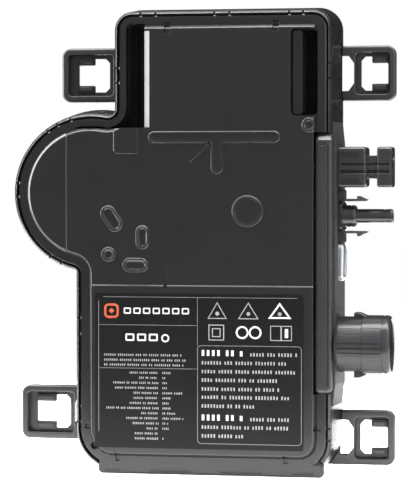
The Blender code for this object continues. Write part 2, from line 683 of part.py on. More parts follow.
def make_dc_socket():
    """The DC socket: a flattened body with two latch windows, a bore and arm slots."""
    start = seal_x()
    neck_start, neck_end = RIM_RIGHT + 15.2, RIM_RIGHT + 19.9
    half_h, half_d = SOCKET_HEIGHT / 2, SOCKET_DEPTH / 2
    outline = rounded_box(AXIS_Y - half_d, SOCKET_Z - half_h, AXIS_Y + half_d, SOCKET_Z + half_h, 3.4, 4)
    body = add_part("dc_socket_body", bar(outline, start, RIGHT), connector_black)
    radius = shank_radius(SOCKET_HEIGHT)
    shank = turned([(RIM_RIGHT - 4, radius), (start + 1, radius)], "X", (0, AXIS_Y, SOCKET_Z), 24)
    shape_with(body, "UNION", shank, "shank")
    shape_with(body, "DIFFERENCE", seal_groove(radius, SOCKET_Z), "seal_groove")
    near, far, half_neck = AXIS_Y - 12, AXIS_Y + 12, SOCKET_NECK / 2
    windows = [
        block((neck_start, near, SOCKET_Z + half_neck), (neck_end, far, SOCKET_Z + 12)),
        block((neck_start, near, SOCKET_Z - 12), (neck_end, far, SOCKET_Z - half_neck)),
        turned([(start + 3.0, SOCKET_BORE / 2), (RIGHT + 1, SOCKET_BORE / 2)], "X",
               (0, AXIS_Y, SOCKET_Z), 24),
    ]
    shape_with(body, "DIFFERENCE", merged(windows), "windows")
    front = AXIS_Y - half_d
    grooves = []
    for z, half in ((SOCKET_Z + 1.9, 0.35), (SOCKET_Z - 1.2, 0.9)):
        grooves.append(block((start + 1.5, front - 1, z - half), (RIGHT - 1.6, front + 0.7, z + half)))
    shape_with(body, "DIFFERENCE", merged(grooves), "grooves")
    contact = [(start + 3.0 + GAP, 2.4), (start + 5.0, 2.4), (start + 5.0, 1.5),
               (RIGHT - 4.0, 1.5), (RIGHT - 2.8, 0.7)]
    add_part("dc_socket_contact", turned(contact, "X", (0, 0, 0), 16), tin_plate, (0, AXIS_Y, SOCKET_Z))


def make_dc_plug():
    """The DC plug: foot, collar and slim barrel, hollow for its contact sleeve."""
    start = seal_x()
    foot = rounded_box(AXIS_Y - 4.6, PLUG_Z - 6.2, AXIS_Y + 4.6, PLUG_Z + 6.2, 1.5)
    body = add_part("dc_plug_body", bar(foot, start, start + 2.2), connector_black)
    collar, barrel, bore = COLLAR_DIAMETER / 2, BARREL_DIAMETER / 2, BARREL_BORE / 2
    shank = shank_radius(COLLAR_DIAMETER)
    profile = [(RIM_RIGHT - 4, shank), (start + 1.7, shank), (start + 1.7, collar),
               (RIM_RIGHT + 10.4, collar), (RIM_RIGHT + 11.1, collar - 0.8), (RIM_RIGHT + 11.1, barrel),
               (RIGHT - 0.5, barrel), (RIGHT, barrel - 0.5), (RIGHT, bore), (start + 3.0, bore)]
    shape_with(body, "UNION", turned(profile, "X", (0, AXIS_Y, PLUG_Z), 24), "barrel")
    shape_with(body, "DIFFERENCE", seal_groove(shank, PLUG_Z), "seal_groove")
    outer, inner = bore - GAP, 0.8
    sleeve = [(start + 3.0 + GAP, outer), (RIGHT - 1.5, outer), (RIGHT - 1.5, inner), (RIM_RIGHT + 12, inner)]
    add_part("dc_plug_contact", turned(sleeve, "X", (0, 0, 0), 14), tin_plate, (0, AXIS_Y, PLUG_Z))


def make_latch_arms():
    """The plug's two spring arms; each turns about its root, towards the barrel."""
    length = ARM_TIP_X - ARM_ROOT_X
    half = ARM_THICKNESS / 2
    barb = length - 5.0
    for name, side in (("latch_arm_upper", 1), ("latch_arm_lower", -1)):
        root = arc(0, 0, half, 90, 270, 6)
        points = root + [(barb, -half), (length - 0.3, -half + 0.25), (length, 0.0), (barb + 0.6, half + 1.5),
                         (barb, half + 1.5), (barb, half)]
        outline = [(x, side * z) for x, z in points]
        mesh = prism(outline, -ARM_WIDTH / 2, ARM_WIDTH / 2)
        add_part(name, mesh, connector_black, (ARM_ROOT_X, AXIS_Y, PLUG_Z + side * ARM_OFFSET))
        lug = [(seal_x() - ARM_ROOT_X, side * -3.2), (-half - GAP, side * -3.2), (-half - GAP, side * 2.0),
               (seal_x() - ARM_ROOT_X, side * 2.0)]
        lug_name = name.replace("latch_arm", "latch_lug")
        reach = ARM_WIDTH / 2 + half + GAP
        mesh = prism(lug, -reach, reach)
        add_part(lug_name, mesh, connector_black, (ARM_ROOT_X, AXIS_Y, PLUG_Z + side * (ARM_OFFSET + 2.6)))


def make_ac_connector():
    """The AC connector: a round open shell with a key rib and two wedges, insert and pins."""
    start = seal_x()
    end = RIGHT - 0.5
    outer, inner = AC_DIAMETER / 2, AC_BORE / 2
    shank = shank_radius(AC_DIAMETER)
    profile = [(RIM_RIGHT - 4, shank), (start, shank), (start, outer), (end - 0.8, outer), (end, outer - 0.8),
               (end, inner + 0.4), (end - 0.6, inner), (start + 2.8, inner)]
    shell = add_part("ac_connector_shell", turned(profile, "X", (0, AXIS_Y, AC_Z), 40), connector_black)
    wedge_x = RIM_RIGHT + 10.5
    wedges = []
    for side in (1, -1):
        points = [(wedge_x, AC_Z + side * (outer - 1)), (wedge_x + 4.4, AC_Z + side * (outer - 1)),
                  (wedge_x + 4.4, AC_Z + side * (outer - 0.2)), (wedge_x + 1.4, AC_Z + side * (outer + 1.5)),
                  (wedge_x, AC_Z + side * (outer + 1.7))]
        wedges.append(prism(points, AXIS_Y - 4, AXIS_Y + 4))
    front = AXIS_Y - outer
    wedges.append(block((start + 0.4, front - 0.7, AC_Z - 2), (end - 3.5, front + 1.6, AC_Z + 2)))
    shape_with(shell, "UNION", merged(wedges), "wedges_and_key")
    shape_with(shell, "DIFFERENCE", seal_groove(shank, AC_Z), "seal_groove")
    insert = [(start + 2.8 + GAP, inner - GAP), (start + 9, inner - GAP), (start + 9, 9.0), (start + 14, 9.0),
              (start + 14, 7.4), (start + 12, 7.4)]
    block_part = add_part("ac_insert", turned(insert, "X", (0, AXIS_Y, AC_Z), 32), connector_black)
    pins = []
    for number, (y, z) in enumerate(pin_places(), start=1):
        pins.append(turned([(start + 6, 1.1 + GAP), (start + 13, 1.1 + GAP)], "X",
                           (0, AXIS_Y + y, AC_Z + z), 10))
        pin = [(start + 6.3, 1.1), (start + 17.5, 1.1), (start + 18.3, 0.5)]
        add_part(f"ac_pin_{number}", turned(pin, "X", (0, 0, 0), 12), tin_plate, (0, AXIS_Y + y, AC_Z + z))
    shape_with(block_part, "DIFFERENCE", merged(pins), "pin_holes")


def pin_places():
    """Places of the four AC pins about the connector's axis."""
    spread = 3.2
    return [(-spread, -spread), (-spread, spread), (spread, -spread), (spread, spread)]


def make_port_seals():
    """Rubber rings round the connector shanks, between the bulkhead and the connector bodies."""
    names = ("dc_socket_seal", "dc_plug_seal", "ac_shell_seal")
    for name, (radius, z) in zip(names, shanks()):
        inner, outer = radius + GAP, radius + GAP + 1.5
        section = [(0, inner), (PORT_SEAL, inner), (PORT_SEAL, outer), (0, outer)]
        ring = turned(section, "X", (0, 0, 0), 20, closed=True)
        add_part(name, ring, seal_rubber, (seal_x(), AXIS_Y, z))


def make_status_light():
    """A clear light guide on the connector side with its light emitter behind it."""
    middle = (LENS_LOW + LENS_HIGH) / 2
    half = (LENS_HIGH - LENS_LOW) / 2
    start = wall_x(AXIS_Y + LENS_HALF_DEPTH) + SADDLE_PROUD + GAP
    dome = rounded_box(-LENS_HALF_DEPTH, -half, LENS_HALF_DEPTH, half, LENS_HALF_DEPTH - 0.1, 4)
    rings = [[(x, y * s, z * (1 - (1 - s) * 0.3)) for y, z in dome]
             for x, s in ((start, 1.0), (start + 1.0, 1.0), (start + 1.8, 0.75), (start + 2.1, 0.35))]
    lens = add_part("status_lens", skin(rings), clear_plastic, (0, AXIS_Y, middle))
    low = (RIM_RIGHT - 3.5, AXIS_Y - 1.6, LENS_LOW + 2.4)
    high = (start + 0.5, AXIS_Y + 1.6, LENS_HIGH - 2.4)
    shape_with(lens, "UNION", block(low, high), "stem")
    led = block((-1.0, -1.4, -1.4), (1.0, 1.4, 1.4))
    add_part("status_led", led, led_white, (RIM_RIGHT - 5.2, AXIS_Y, middle))


def make_board_stack():
    """Heat spreader, thermal pad and circuit board, stacked on the tray floor."""
    left, right = LOWER_LEFT + 12.0, RIM_RIGHT - 18.0
    spreader = rounded_box(left, SPREADER_LOW, right, SPREADER_HIGH, 3.0)
    add_part("heat_spreader", prism(spreader, SPREADER_Y, SPREADER_Y + SPREADER_THICKNESS), aluminium)
    pad = rounded_box(left + PAD_MARGIN, SPREADER_LOW + PAD_MARGIN, right - PAD_MARGIN,
                      SPREADER_HIGH - PAD_MARGIN, 2.0)
    add_part("thermal_pad", prism(pad, PAD_Y, PAD_Y + PAD_THICKNESS), pad_grey)
    board = prism(body_outline(-BOARD_INSET), BOARD_Y, BOARD_Y + BOARD_THICKNESS)
    add_part("circuit_board", board, board_green)


def on_board(name, low_x, low_z, width, height, tall, finish, radius=0.0):
    """A rectangular component standing forward from the board."""
    points = rounded_box(-width / 2, -height / 2, width / 2, height / 2, radius)
    mesh = prism(points, -tall, 0.0)
    return add_part(name, mesh, finish, (low_x + width / 2, PART_Y, low_z + height / 2))


def make_transformer():
    """The pot-style transformer core with openings above and below, and its ring winding."""
    core_x, core_z = BULGE_X + 8.0, BULGE_Z - 3.0
    size = block((-CORE_HALF_WIDTH, -CORE_TALL, -CORE_HALF_HEIGHT), (CORE_HALF_WIDTH, 0, CORE_HALF_HEIGHT))
    core = add_part("transformer_core", size, ferrite, (core_x, PART_Y, core_z))
    front, back = 1.4 - CORE_TALL, -1.4
    room = turned([(front, CORE_WINDOW), (front, CORE_LIMB), (back, CORE_LIMB), (back, CORE_WINDOW)], "Y",
                  (core_x, PART_Y, core_z), 24, closed=True)
    shape_with(core, "DIFFERENCE", room, "winding_room")
    for label, low, high in (("lower_opening", -20.0, -6.5), ("upper_opening", 6.5, 20.0)):
        opening = block((core_x - 10.5, PART_Y + front, core_z + low),
                        (core_x + 10.5, PART_Y + back, core_z + high))
        shape_with(core, "DIFFERENCE", opening, label)
    inner, outer = CORE_LIMB + GAP, CORE_WINDOW - GAP - 0.1
    winding = [(front + GAP, inner), (back - GAP, inner), (back - GAP, outer), (front + GAP, outer)]
    add_part("transformer_winding", turned(winding, "Y", (0, 0, 0), 24, closed=True), copper,
             (core_x, PART_Y, core_z))


def make_components():
    """The parts on the circuit board, from the DC side to the AC side."""
    right = RIM_RIGHT - PANEL_INSET
    for number in range(1, 5):
        x = right - 20.0
        z = 168.0 - 17.0 * number
        can = [(-11.5, 4.2), (-11.2, 4.8), (-1.4, 4.8), (-0.9, 4.4), (-0.6, 4.8), (0.0, 4.8)]
        add_part(f"input_capacitor_{number}", turned(can, "Y", (0, 0, 0), 20), can_blue, (x, PART_Y, z))
    for number in range(1, 5):
        z = 83.0 + 13.0 * number
        on_board(f"power_transistor_{number}", right - 40.0, z, 8.5, 10.0, 2.2, chip_black)
    make_transformer()
    choke = [(1.0 - CORE_TALL, 3.4), (-0.6, 3.4), (-0.6, 7.6), (1.0 - CORE_TALL, 7.6)]
    coils = (("output_choke", LOWER_LEFT + 24.0, 76.0), ("line_filter_choke", RIM_RIGHT - 36.0, 60.0))
    for name, x, z in coils:
        add_part(name, turned(choke, "Y", (0, 0, 0), 20, closed=True), copper, (x, PART_Y, z))
    on_board("film_capacitor", LOWER_LEFT + 15.0, 32.0, 26.0, 13.0, 10.5, film_grey, 1.0)
    on_board("surge_varistor", RIM_RIGHT - 32.0, 30.0, 12.0, 5.0, 9.0, can_blue, 2.0)
    on_board("control_chip", -6.0, 66.0, 14.0, 14.0, 1.4, chip_black)
    on_board("gate_driver", -8.0, 96.0, 8.0, 10.0, 1.8, chip_black)
    on_board("signal_transformer", 2.0, 36.0, 11.0, 11.0, 8.0, ferrite, 0.5)
    on_board("ac_terminal_block", RIM_RIGHT - 25.0, AC_Z - 10.0, 9.0, 20.0, 8.0, terminal_green, 0.5)
    lead_x = RIM_RIGHT - 4.0 - GAP
    for name, z in (("dc_positive_bar", SOCKET_Z), ("dc_negative_bar", PLUG_Z)):
        points = [(lead_x, -1.5), (lead_x, 1.5), (lead_x - 8.0, 1.5), (lead_x - 8.0, -1.5)]
        add_part(name, prism(points, AXIS_Y - 0.6, AXIS_Y + 0.6), copper, (0, 0, z))
    for number, (y, z) in enumerate(((-2.0, 4.0), (-2.0, -4.0)), start=1):
        mesh = turned([(lead_x - 10.5, 0.8), (lead_x, 0.8)], "X", (0, 0, 0), 10)
        add_part(f"ac_lead_{number}", mesh, copper, (0, AXIS_Y + y, AC_Z + z))


make_tray()
make_lid()
make_seal()
make_label()
make_mounting_plate()
make_plate_screws()
make_saddle()
make_bulkhead()
make_dc_socket()
make_dc_plug()
make_latch_arms()
make_ac_connector()
make_port_seals()
make_status_light()
make_board_stack()
make_components()
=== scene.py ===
from math import asin, atan2, cos, pi, radians, sin, sqrt

import bmesh
import bpy
import numpy as np
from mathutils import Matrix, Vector
from mathutils.geometry import delaunay_2d_cdt


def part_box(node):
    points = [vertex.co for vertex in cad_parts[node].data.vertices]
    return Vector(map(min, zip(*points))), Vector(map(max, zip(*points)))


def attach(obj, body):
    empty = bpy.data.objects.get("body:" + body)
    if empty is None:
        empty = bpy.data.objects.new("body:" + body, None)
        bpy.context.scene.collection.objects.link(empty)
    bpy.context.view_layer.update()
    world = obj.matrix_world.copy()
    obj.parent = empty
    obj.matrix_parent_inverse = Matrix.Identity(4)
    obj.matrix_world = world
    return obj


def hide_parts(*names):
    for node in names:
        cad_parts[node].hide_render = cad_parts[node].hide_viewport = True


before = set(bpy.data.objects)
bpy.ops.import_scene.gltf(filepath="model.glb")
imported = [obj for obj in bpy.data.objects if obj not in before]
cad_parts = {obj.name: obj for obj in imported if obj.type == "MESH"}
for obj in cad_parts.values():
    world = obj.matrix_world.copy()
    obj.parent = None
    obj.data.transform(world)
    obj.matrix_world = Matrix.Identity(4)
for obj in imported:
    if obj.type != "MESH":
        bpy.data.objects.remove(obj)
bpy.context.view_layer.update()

# Housing tray: the deep rear half of the case, moulded in black glass-filled polymer. Its wall is
# drafted, and a thin lip stands round the lid. Snap windows are cut through the lip in pairs.
MM = 0.001


def box_mm(node):
    """Lowest and highest corner of a CAD node in millimetres."""
    low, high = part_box(node)
    return low / MM, high / MM


tray_low, tray_high = box_mm("housing_tray")
DRAFT = 2.6
RIM_Y = tray_low.y
TRAY_BACK = tray_high.y
LEFT = tray_low.x
RIM_RIGHT = tray_high.x - DRAFT
RIM_TOP = tray_high.z - DRAFT
RIM_BOTTOM = 2.0
WAIST_LEFT = LEFT + 31.5
NECK_LEFT = LEFT + 49.5
BULGE_RADIUS = 35.8
BULGE_X = LEFT + DRAFT + BULGE_RADIUS
BULGE_Z = 127.7
TOP_CORNER = 8.0
RIGHT_CORNER = 14.0
LEFT_CORNER = 18.3
NECK_FILLET = 3.3
WAIST_FILLET = 2.0
LEAST_RADIUS = 0.4
LIP = 1.2


def arc(centre_x, centre_z, radius, start, end, steps):
    """Points on an arc, angles in degrees, both ends included."""
    turns = [radians(start + (end - start) * step / steps) for step in range(steps + 1)]
    return [(centre_x + radius * cos(turn), centre_z + radius * sin(turn)) for turn in turns]


def case_outline(grow):
    """The case seen from the front, moved outward by grow, always with as many points."""
    left, right = WAIST_LEFT - grow, RIM_RIGHT + grow
    top, bottom = RIM_TOP + grow, max(RIM_BOTTOM - grow, 0.0)
    neck = NECK_LEFT - grow
    bulge = BULGE_RADIUS + grow
    left_r, right_r, top_r = (max(r + grow, LEAST_RADIUS) for r in (LEFT_CORNER, RIGHT_CORNER, TOP_CORNER))
    neck_r, waist_r = (max(r - grow, LEAST_RADIUS) for r in (NECK_FILLET, WAIST_FILLET))
    neck_x = neck - neck_r
    neck_z = BULGE_Z + sqrt((bulge + neck_r) ** 2 - (neck_x - BULGE_X) ** 2)
    waist_x = left - waist_r
    waist_z = BULGE_Z - sqrt((bulge + waist_r) ** 2 - (waist_x - BULGE_X) ** 2)
    start = atan2(neck_z - BULGE_Z, neck_x - BULGE_X) * 180 / pi
    end = 360 + atan2(waist_z - BULGE_Z, waist_x - BULGE_X) * 180 / pi
    points = arc(left + left_r, bottom + left_r, left_r, 180, 270, 14)
    points += arc(right - right_r, bottom + right_r, right_r, 270, 360, 14)
    points += arc(right - top_r, top - top_r, top_r, 0, 90, 14)
    points += arc(neck + top_r, top - top_r, top_r, 90, 180, 14)
    points += arc(neck_x, neck_z, neck_r, 0, start - 180, 8)
    points += arc(BULGE_X, BULGE_Z, bulge, start, end, 72)[1:-1]
    points += arc(waist_x, waist_z, waist_r, end - 180, 0, 6)
    return points


def wall_grow(y):
    """How far the drafted wall stands outside the rim outline at depth y."""
    return DRAFT * (y - RIM_Y) / (TRAY_BACK - RIM_Y)


class Moulding:
    """Closed skins in millimetres that are gathered into one piece."""

    def __init__(self):
        self.points = []
        self.faces = []

    def add(self, points, faces):
        """One more closed skin."""
        start = len(self.points)
        self.points += [tuple(point) for point in points]
        self.faces += [tuple(start + corner for corner in face) for face in faces]

    def loft(self, rings, closed=False):
        """A skin over rings of (x, y, z) points, capped at both ends unless it closes on itself."""
        count, last = len(rings[0]), len(rings) - 1
        faces = []
        for ring in range(last + 1 if closed else last):
            near, far = ring * count, (ring + 1) % (last + 1) * count
            for corner in range(count):
                after = (corner + 1) % count
                faces.append((near + corner, near + after, far + after, far + corner))
        if not closed:
            faces.append(tuple(range(count)))
            faces.append(tuple(last * count + corner for corner in range(count)))
        self.add([point for ring in rings for point in ring], faces)

    def slab(self, outline, steps, closed=False):
        """A skin over a front outline that is moved outward by (depth, grow) steps."""
        self.loft([[(x, y, z) for x, z in moved(outline, grow)] for y, grow in steps], closed)

    def piece(self, name, finish, slot, nodes=(), body="root", sharp=32):
        """The gathered skins as an object that rides on a body and stands for CAD nodes."""
        shape = bmesh.new()
        corners = [shape.verts.new(Vector(point) * MM) for point in self.points]
        for face in self.faces:
            shape.faces.new([corners[corner] for corner in face])
        bmesh.ops.recalc_face_normals(shape, faces=shape.faces)
        mesh = bpy.data.meshes.new(name)
        shape.to_mesh(mesh)
        shape.free()
        mesh.shade_smooth()
        mesh.set_sharp_from_angle(angle=radians(sharp))
        mesh.materials.append(finish)
        made = bpy.data.objects.new(name, mesh)
        bpy.context.scene.collection.objects.link(made)
        crisp = made.modifiers.new("crisp_flats", "WEIGHTED_NORMAL")
        crisp.keep_sharp = True
        crisp.weight = 80
        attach(made, body)
        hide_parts(*nodes)
        return made


class Wire:
    """A shader socket. Python arithmetic on it adds Math nodes to its finish."""

    def __init__(self, finish, socket):
        self.finish = finish
        self.socket = socket

    def math(self, operation, first, second=0.0):
        """The result of one Math node."""
        return self.finish.node("Math", {"operation": operation}, {0: first, 1: second})

    def __add__(self, other):
        return self.math("ADD", self, other)

    def __sub__(self, other):
        return self.math("SUBTRACT", self, other)

    def __rsub__(self, other):
        return self.math("SUBTRACT", other, self)

    def __mul__(self, other):
        return self.math("MULTIPLY", self, other)

    __radd__ = __add__
    __rmul__ = __mul__


class Nodes:
    """A node tree under construction."""

    def __init__(self, tree, place):
        self.tree = tree
        self.place = self.node("TexCoord", {}, {}, place)

    def join(self, target, value):
        """Links a wire to an input socket, or sets the input's own value."""
        if isinstance(value, Wire):
            self.tree.links.new(value.socket, target)
        else:
            target.default_value = value

    def node(self, kind, settings, sockets, output=0):
        """One node: its settings first, then its sockets; the result is its output as a wire."""
        made = self.tree.nodes.new("ShaderNode" + kind)
        stops = settings.pop("stops", None)
        for setting, value in settings.items():
            setattr(made, setting, value)
        if stops:
            ramp = made.color_ramp
            ramp.elements[0].position, ramp.elements[0].color = stops[0]
            ramp.elements[1].position, ramp.elements[1].color = stops[-1]
            for position, colour in stops[1:-1]:
                ramp.elements.new(position).color = colour
        for socket, value in sockets.items():
            self.join(made.inputs[socket], value)
        return Wire(self, made.outputs[output])

    def noise(self, size_mm, detail=2.0, stretch=(1.0, 1.0, 1.0)):
        """Noise with cells of about the given size, drawn out along an axis by a stretch under 1."""
        scale = tuple(factor / (size_mm * MM) for factor in stretch)
        place = self.node("Mapping", {}, {"Vector": self.place, "Scale": scale})
        return self.node("TexNoise", {}, {"Vector": place, "Scale": 1.0, "Detail": detail})

    def colours(self, amount, low, high):
        """A colour that runs from low to high, triples or wires, as amount goes from 0 to 1."""
        low, high = (value if isinstance(value, Wire) else (*value, 1.0) for value in (low, high))
        return self.node("Mix", {"data_type": "RGBA"}, {0: amount, 6: low, 7: high}, 2)


class Finish(Nodes):
    """One procedural material round a Principled shader."""

    def __init__(self, name, roughness, metallic=0.0, **settings):
        self.material = bpy.data.materials.new(name)
        self.material.use_nodes = True
        super().__init__(self.material.node_tree, "Object")
        self.shader = self.tree.nodes["Principled BSDF"]
        self.shader.inputs["Roughness"].default_value = roughness
        self.shader.inputs["Metallic"].default_value = metallic
        for socket, value in settings.items():
            self.shader.inputs[socket.replace("_", " ")].default_value = value

    def paint(self, **feeds):
        """Feeds the shader's inputs."""
        for socket, value in feeds.items():
            self.join(self.shader.inputs[socket.replace("_", " ")], value)

    def bump(self, height, depth_mm):
        """Bump from a height that runs from 0 to 1."""
        normal = self.node("Bump", {}, {"Height": height, "Strength": 1.0, "Distance": depth_mm * MM})
        self.paint(Normal=normal)


def moulded_black(name, colour, roughness, grain_mm=0.5, depth_mm=0.006, **settings):
    """Black polymer from a spark-eroded mould: slight flow shading, fine grain and uneven gloss."""
    finish = Finish(name, roughness, **settings)
    flow = finish.noise(38.0, 3.0)
    speck = finish.noise(1.6, 2.0)
    shade = flow * 0.7 + speck * 0.3
    dark = tuple(value * 0.82 for value in colour)
    light = tuple(value * 1.18 for value in colour)
    finish.paint(Base_Color=finish.colours(shade, dark, light))
    finish.paint(Roughness=finish.noise(9.0, 4.0) * 0.10 + speck * 0.06 + (roughness - 0.08))
    finish.bump(finish.noise(grain_mm, 2.0), depth_mm)
    return finish.material


def rounded_box(low_x, low_z, high_x, high_z, radius, steps=5):
    """A rectangle with round corners as a list of points."""
    points = arc(high_x - radius, low_z + radius, radius, -90, 0, steps)
    points += arc(high_x - radius, high_z - radius, radius, 0, 90, steps)
    points += arc(low_x + radius, high_z - radius, radius, 90, 180, steps)
    points += arc(low_x + radius, low_z + radius, radius, 180, 270, steps)
    return points


def distance(points, outline):
    """Signed distance from points to an outline, negative inside it."""
    start = np.array(outline)
    along = np.roll(start, -1, axis=0) - start
    start, along = (rows[(along ** 2).sum(1) > 1e-12] for rows in (start, along))
    offset = points[:, None] - start
    share = np.clip((offset * along).sum(2) / (along ** 2).sum(1), 0, 1)
    gap = np.sqrt(((offset - share[..., None] * along) ** 2).sum(2).min(1))
    height = points[:, 1:2]
    crosses = (start[:, 1] <= height) != (start[:, 1] + along[:, 1] <= height)
    rise = np.where(along[:, 1] == 0, 1.0, along[:, 1])
    at = start[:, 0] + (height - start[:, 1]) / rise * along[:, 0]
    inside = (crosses & (points[:, 0:1] < at)).sum(1) % 2 == 1
    return np.where(inside, -gap, gap)


def moved(outline, offset):
    """An outline moved outward by an offset, corners kept sharp."""
    points = np.array(outline, float)
    points = points[np.linalg.norm(points - np.roll(points, 1, axis=0), axis=1) > 1e-6]
    before = points - np.roll(points, 1, axis=0)
    before /= np.linalg.norm(before, axis=1)[:, None]
    after = np.roll(before, -1, axis=0)
    area = (points[:, 0] * np.roll(points[:, 1], -1) - points[:, 1] * np.roll(points[:, 0], -1)).sum()
    turn = np.array([[0, -1], [1, 0]]) * (1 if area > 0 else -1)
    mitre = (before + after) @ turn
    mitre /= np.maximum((mitre ** 2).sum(1) / 2, 0.4)[:, None]
    return points + mitre * offset


def raised(height, radius, draft=0.05):
    """Level across an edge, from inside to outside: a round shoulder on a nearly upright wall."""
    turns = [radians(angle) for angle in (0, 22.5, 45, 67.5, 90)]
    shoulder = [(-radius * (1 - sin(turn)), height - radius * (1 - cos(turn))) for turn in turns]
    return [(-radius - 0.3, height), *shoulder, (draft, 0.0)]


def sunk(depth, radius, draft=0.05):
    """Level across the edge of a recess, from its floor to the round shoulder round it."""
    turns = [radians(angle) for angle in (90, 67.5, 45, 22.5, 0)]
    shoulder = [(radius * (1 - sin(turn)), -radius * (1 - cos(turn))) for turn in turns]
    return [(-draft, -depth), *shoulder, (radius + 0.3, 0.0)]


def rectangle(low_x, low_z, high_x, high_z):
    """Four corners of a rectangle."""
    return [(low_x, low_z), (high_x, low_z), (high_x, high_z), (low_x, high_z)]


def turned_about(points, centre, degrees):
    """An outline about its own origin, turned and put at a centre."""
    turn = radians(degrees)
    across, up = centre
    return [(across + x * cos(turn) - z * sin(turn), up + x * sin(turn) + z * cos(turn)) for x, z in points]


class Relief:
    """A moulded plate seen from the front: outlines, and the lines along which its level changes."""

    def __init__(self, shapes, holes=()):
        self.shapes = list(shapes)
        self.holes = list(holes)
        self.lines = []

    def level(self, outlines, profile):
        """Level over points from (offset, level) pairs across an outline, or where several overlap."""
        offsets = [offset for offset, _ in profile]
        levels = [value for _, value in profile]
        self.lines += [moved(outline, offset) for outline in outlines for offset in offsets]

        def at(points):
            """Level at each point."""
            gaps = [distance(points, outline) for outline in outlines]
            return np.interp(np.max(gaps, axis=0), offsets, levels)

        return at

    def skin(self, front, back):
        """Points and faces of the closed plate between its front and back depths."""
        spots, edges = [], []
        for outline in [*self.shapes, *self.holes, *self.lines]:
            start, count = len(spots), len(outline)
            spots += [Vector(spot) for spot in outline]
            edges += [(start + step, start + (step + 1) % count) for step in range(count)]
        flat, _, triangles, *_ = delaunay_2d_cdt(spots, edges, [], 0, 2e-3, False)
        flat, triangles = np.array(flat), np.array(triangles)
        centres = flat[triangles].mean(1)
        keep = np.min([distance(centres, shape) for shape in self.shapes], axis=0) < 0
        for hole in self.holes:
            keep &= distance(centres, hole) > 0
        used, triangles = np.unique(triangles[keep], return_inverse=True)
        triangles = triangles.reshape(-1, 3)
        flat, count = flat[used], len(used)
        points = [(x, y, z) for (x, z), y in zip(flat, front(flat))]
        points += [(x, y, z) for (x, z), y in zip(flat, back(flat))]
        faces = [tuple(face) for face in triangles]
        faces += [tuple(face[::-1] + count) for face in triangles]
        sides = {(face[turn], face[turn - 2]) for face in triangles for turn in range(3)}
        walls = [(a, b) for a, b in sides if (b, a) not in sides]
        faces += [(b, a, a + count, b + count) for a, b in sorted(walls)]
        return points, faces


shell_black = moulded_black("shell_black", (0.0065, 0.0066, 0.007), 0.28)
LID_INSET = LIP + 0.4
LID_Y = RIM_Y + 0.4
LEDGE_Y = LID_Y + 2.3
GROOVE_Y = LEDGE_Y + 1.6
LEDGE_BACK = GROOVE_Y + 1.3
TRAY_WALL = 2.0
FLOOR_Y = TRAY_BACK - TRAY_WALL
SEAL_LEDGE = 4.2
SEAL_WIDTH = 1.8
APRON_LEFT = WAIST_LEFT + 10.0
APRON_RIGHT = RIM_RIGHT - 3.0
APRON_TOP = RIM_BOTTOM + 5.0

tray = Moulding()
tray_section = [
    (TRAY_BACK, DRAFT - 0.5),
    (TRAY_BACK - 0.15, DRAFT - 0.15),
    (TRAY_BACK - 0.5, DRAFT - 0.04),
    (LEDGE_Y + 0.35, wall_grow(LEDGE_Y + 0.35)),
    (LEDGE_Y + 0.12, wall_grow(LEDGE_Y) - 0.03),
    (LEDGE_Y, wall_grow(LEDGE_Y) - 0.15),
    (LEDGE_Y, -LID_INSET),
    (GROOVE_Y, -LID_INSET),
    (GROOVE_Y, -LID_INSET - SEAL_WIDTH),
    (LEDGE_Y, -LID_INSET - SEAL_WIDTH),
    (LEDGE_Y, -SEAL_LEDGE),
    (LEDGE_BACK, -SEAL_LEDGE),
    (LEDGE_BACK, wall_grow(LEDGE_BACK) - 3.0),
    (FLOOR_Y, wall_grow(FLOOR_Y) - 2.5),
]
tray.loft([[(x, y, z) for x, z in case_outline(grow)] for y, grow in tray_section])

# Its lip, cut away for the lid's apron and the clamp strip, with the snap hooks' windows through it.
lip_room = case_outline(0.0)
lip = Relief([lip_room], [case_outline(-LIP)])
lip_edge = lip.level([lip_room], [(-1.0, 0.0), (-0.85, 0.06), (-0.15, 0.95), (0.0, 1.2)])
lip_inner = lip.level([case_outline(-LIP)], [(0.0, 0.25), (0.1, 0.1), (0.2, 0.0)])
gap_depth = LEDGE_Y - RIM_Y + 0.3
gaps = [
    rectangle(APRON_LEFT - 0.3, -1.0, APRON_RIGHT + 0.3, APRON_TOP + 0.3),
    rectangle(RIM_RIGHT - LIP - 0.3, 37.7, RIM_RIGHT + 3.0, 154.9),
]
slit_places = [(x, RIM_TOP, 90) for x in (-26.1, -19.2, 7.8, 14.6, 41.7, 48.0)]
slit_places += [(NECK_LEFT, z, 180) for z in (184.2, 177.5)]
slit_places += [(RIM_RIGHT, z, 0) for z in (185.6, 178.9, 22.3, 16.8)]
slit_places += [(WAIST_LEFT, z, 180) for z in (70.7, 63.4, 30.5, 23.4)]
for turn in (105.9, 116.9, 125.8, 172.3, 183.0, 236.7, 246.4):
    slit_places += [(*arc(BULGE_X, BULGE_Z, BULGE_RADIUS, turn, turn, 1)[0], turn)]
slits = [turned_about(rectangle(-2.6, -0.45, 1.0, 0.45), (x, z), turn) for x, z, turn in slit_places]
lip_cuts = [lip.level([outline], [(-0.04, gap_depth), (0.0, 0.0)]) for outline in gaps]
lip_cuts += [lip.level([outline], [(-0.12, 1.6), (0.0, 0.0)]) for outline in slits]


def lip_front(points):
    """Depth of the lip's front edge."""
    edges = lip_edge(points) + lip_inner(points)
    return RIM_Y + np.max([edges, *(cut(points) for cut in lip_cuts)], axis=0)


tray.add(*lip.skin(lip_front, lambda points: np.full(len(points), LEDGE_Y + 0.5)))
tray.piece("housing_shell", shell_black, "shell_black", ["housing_tray"])

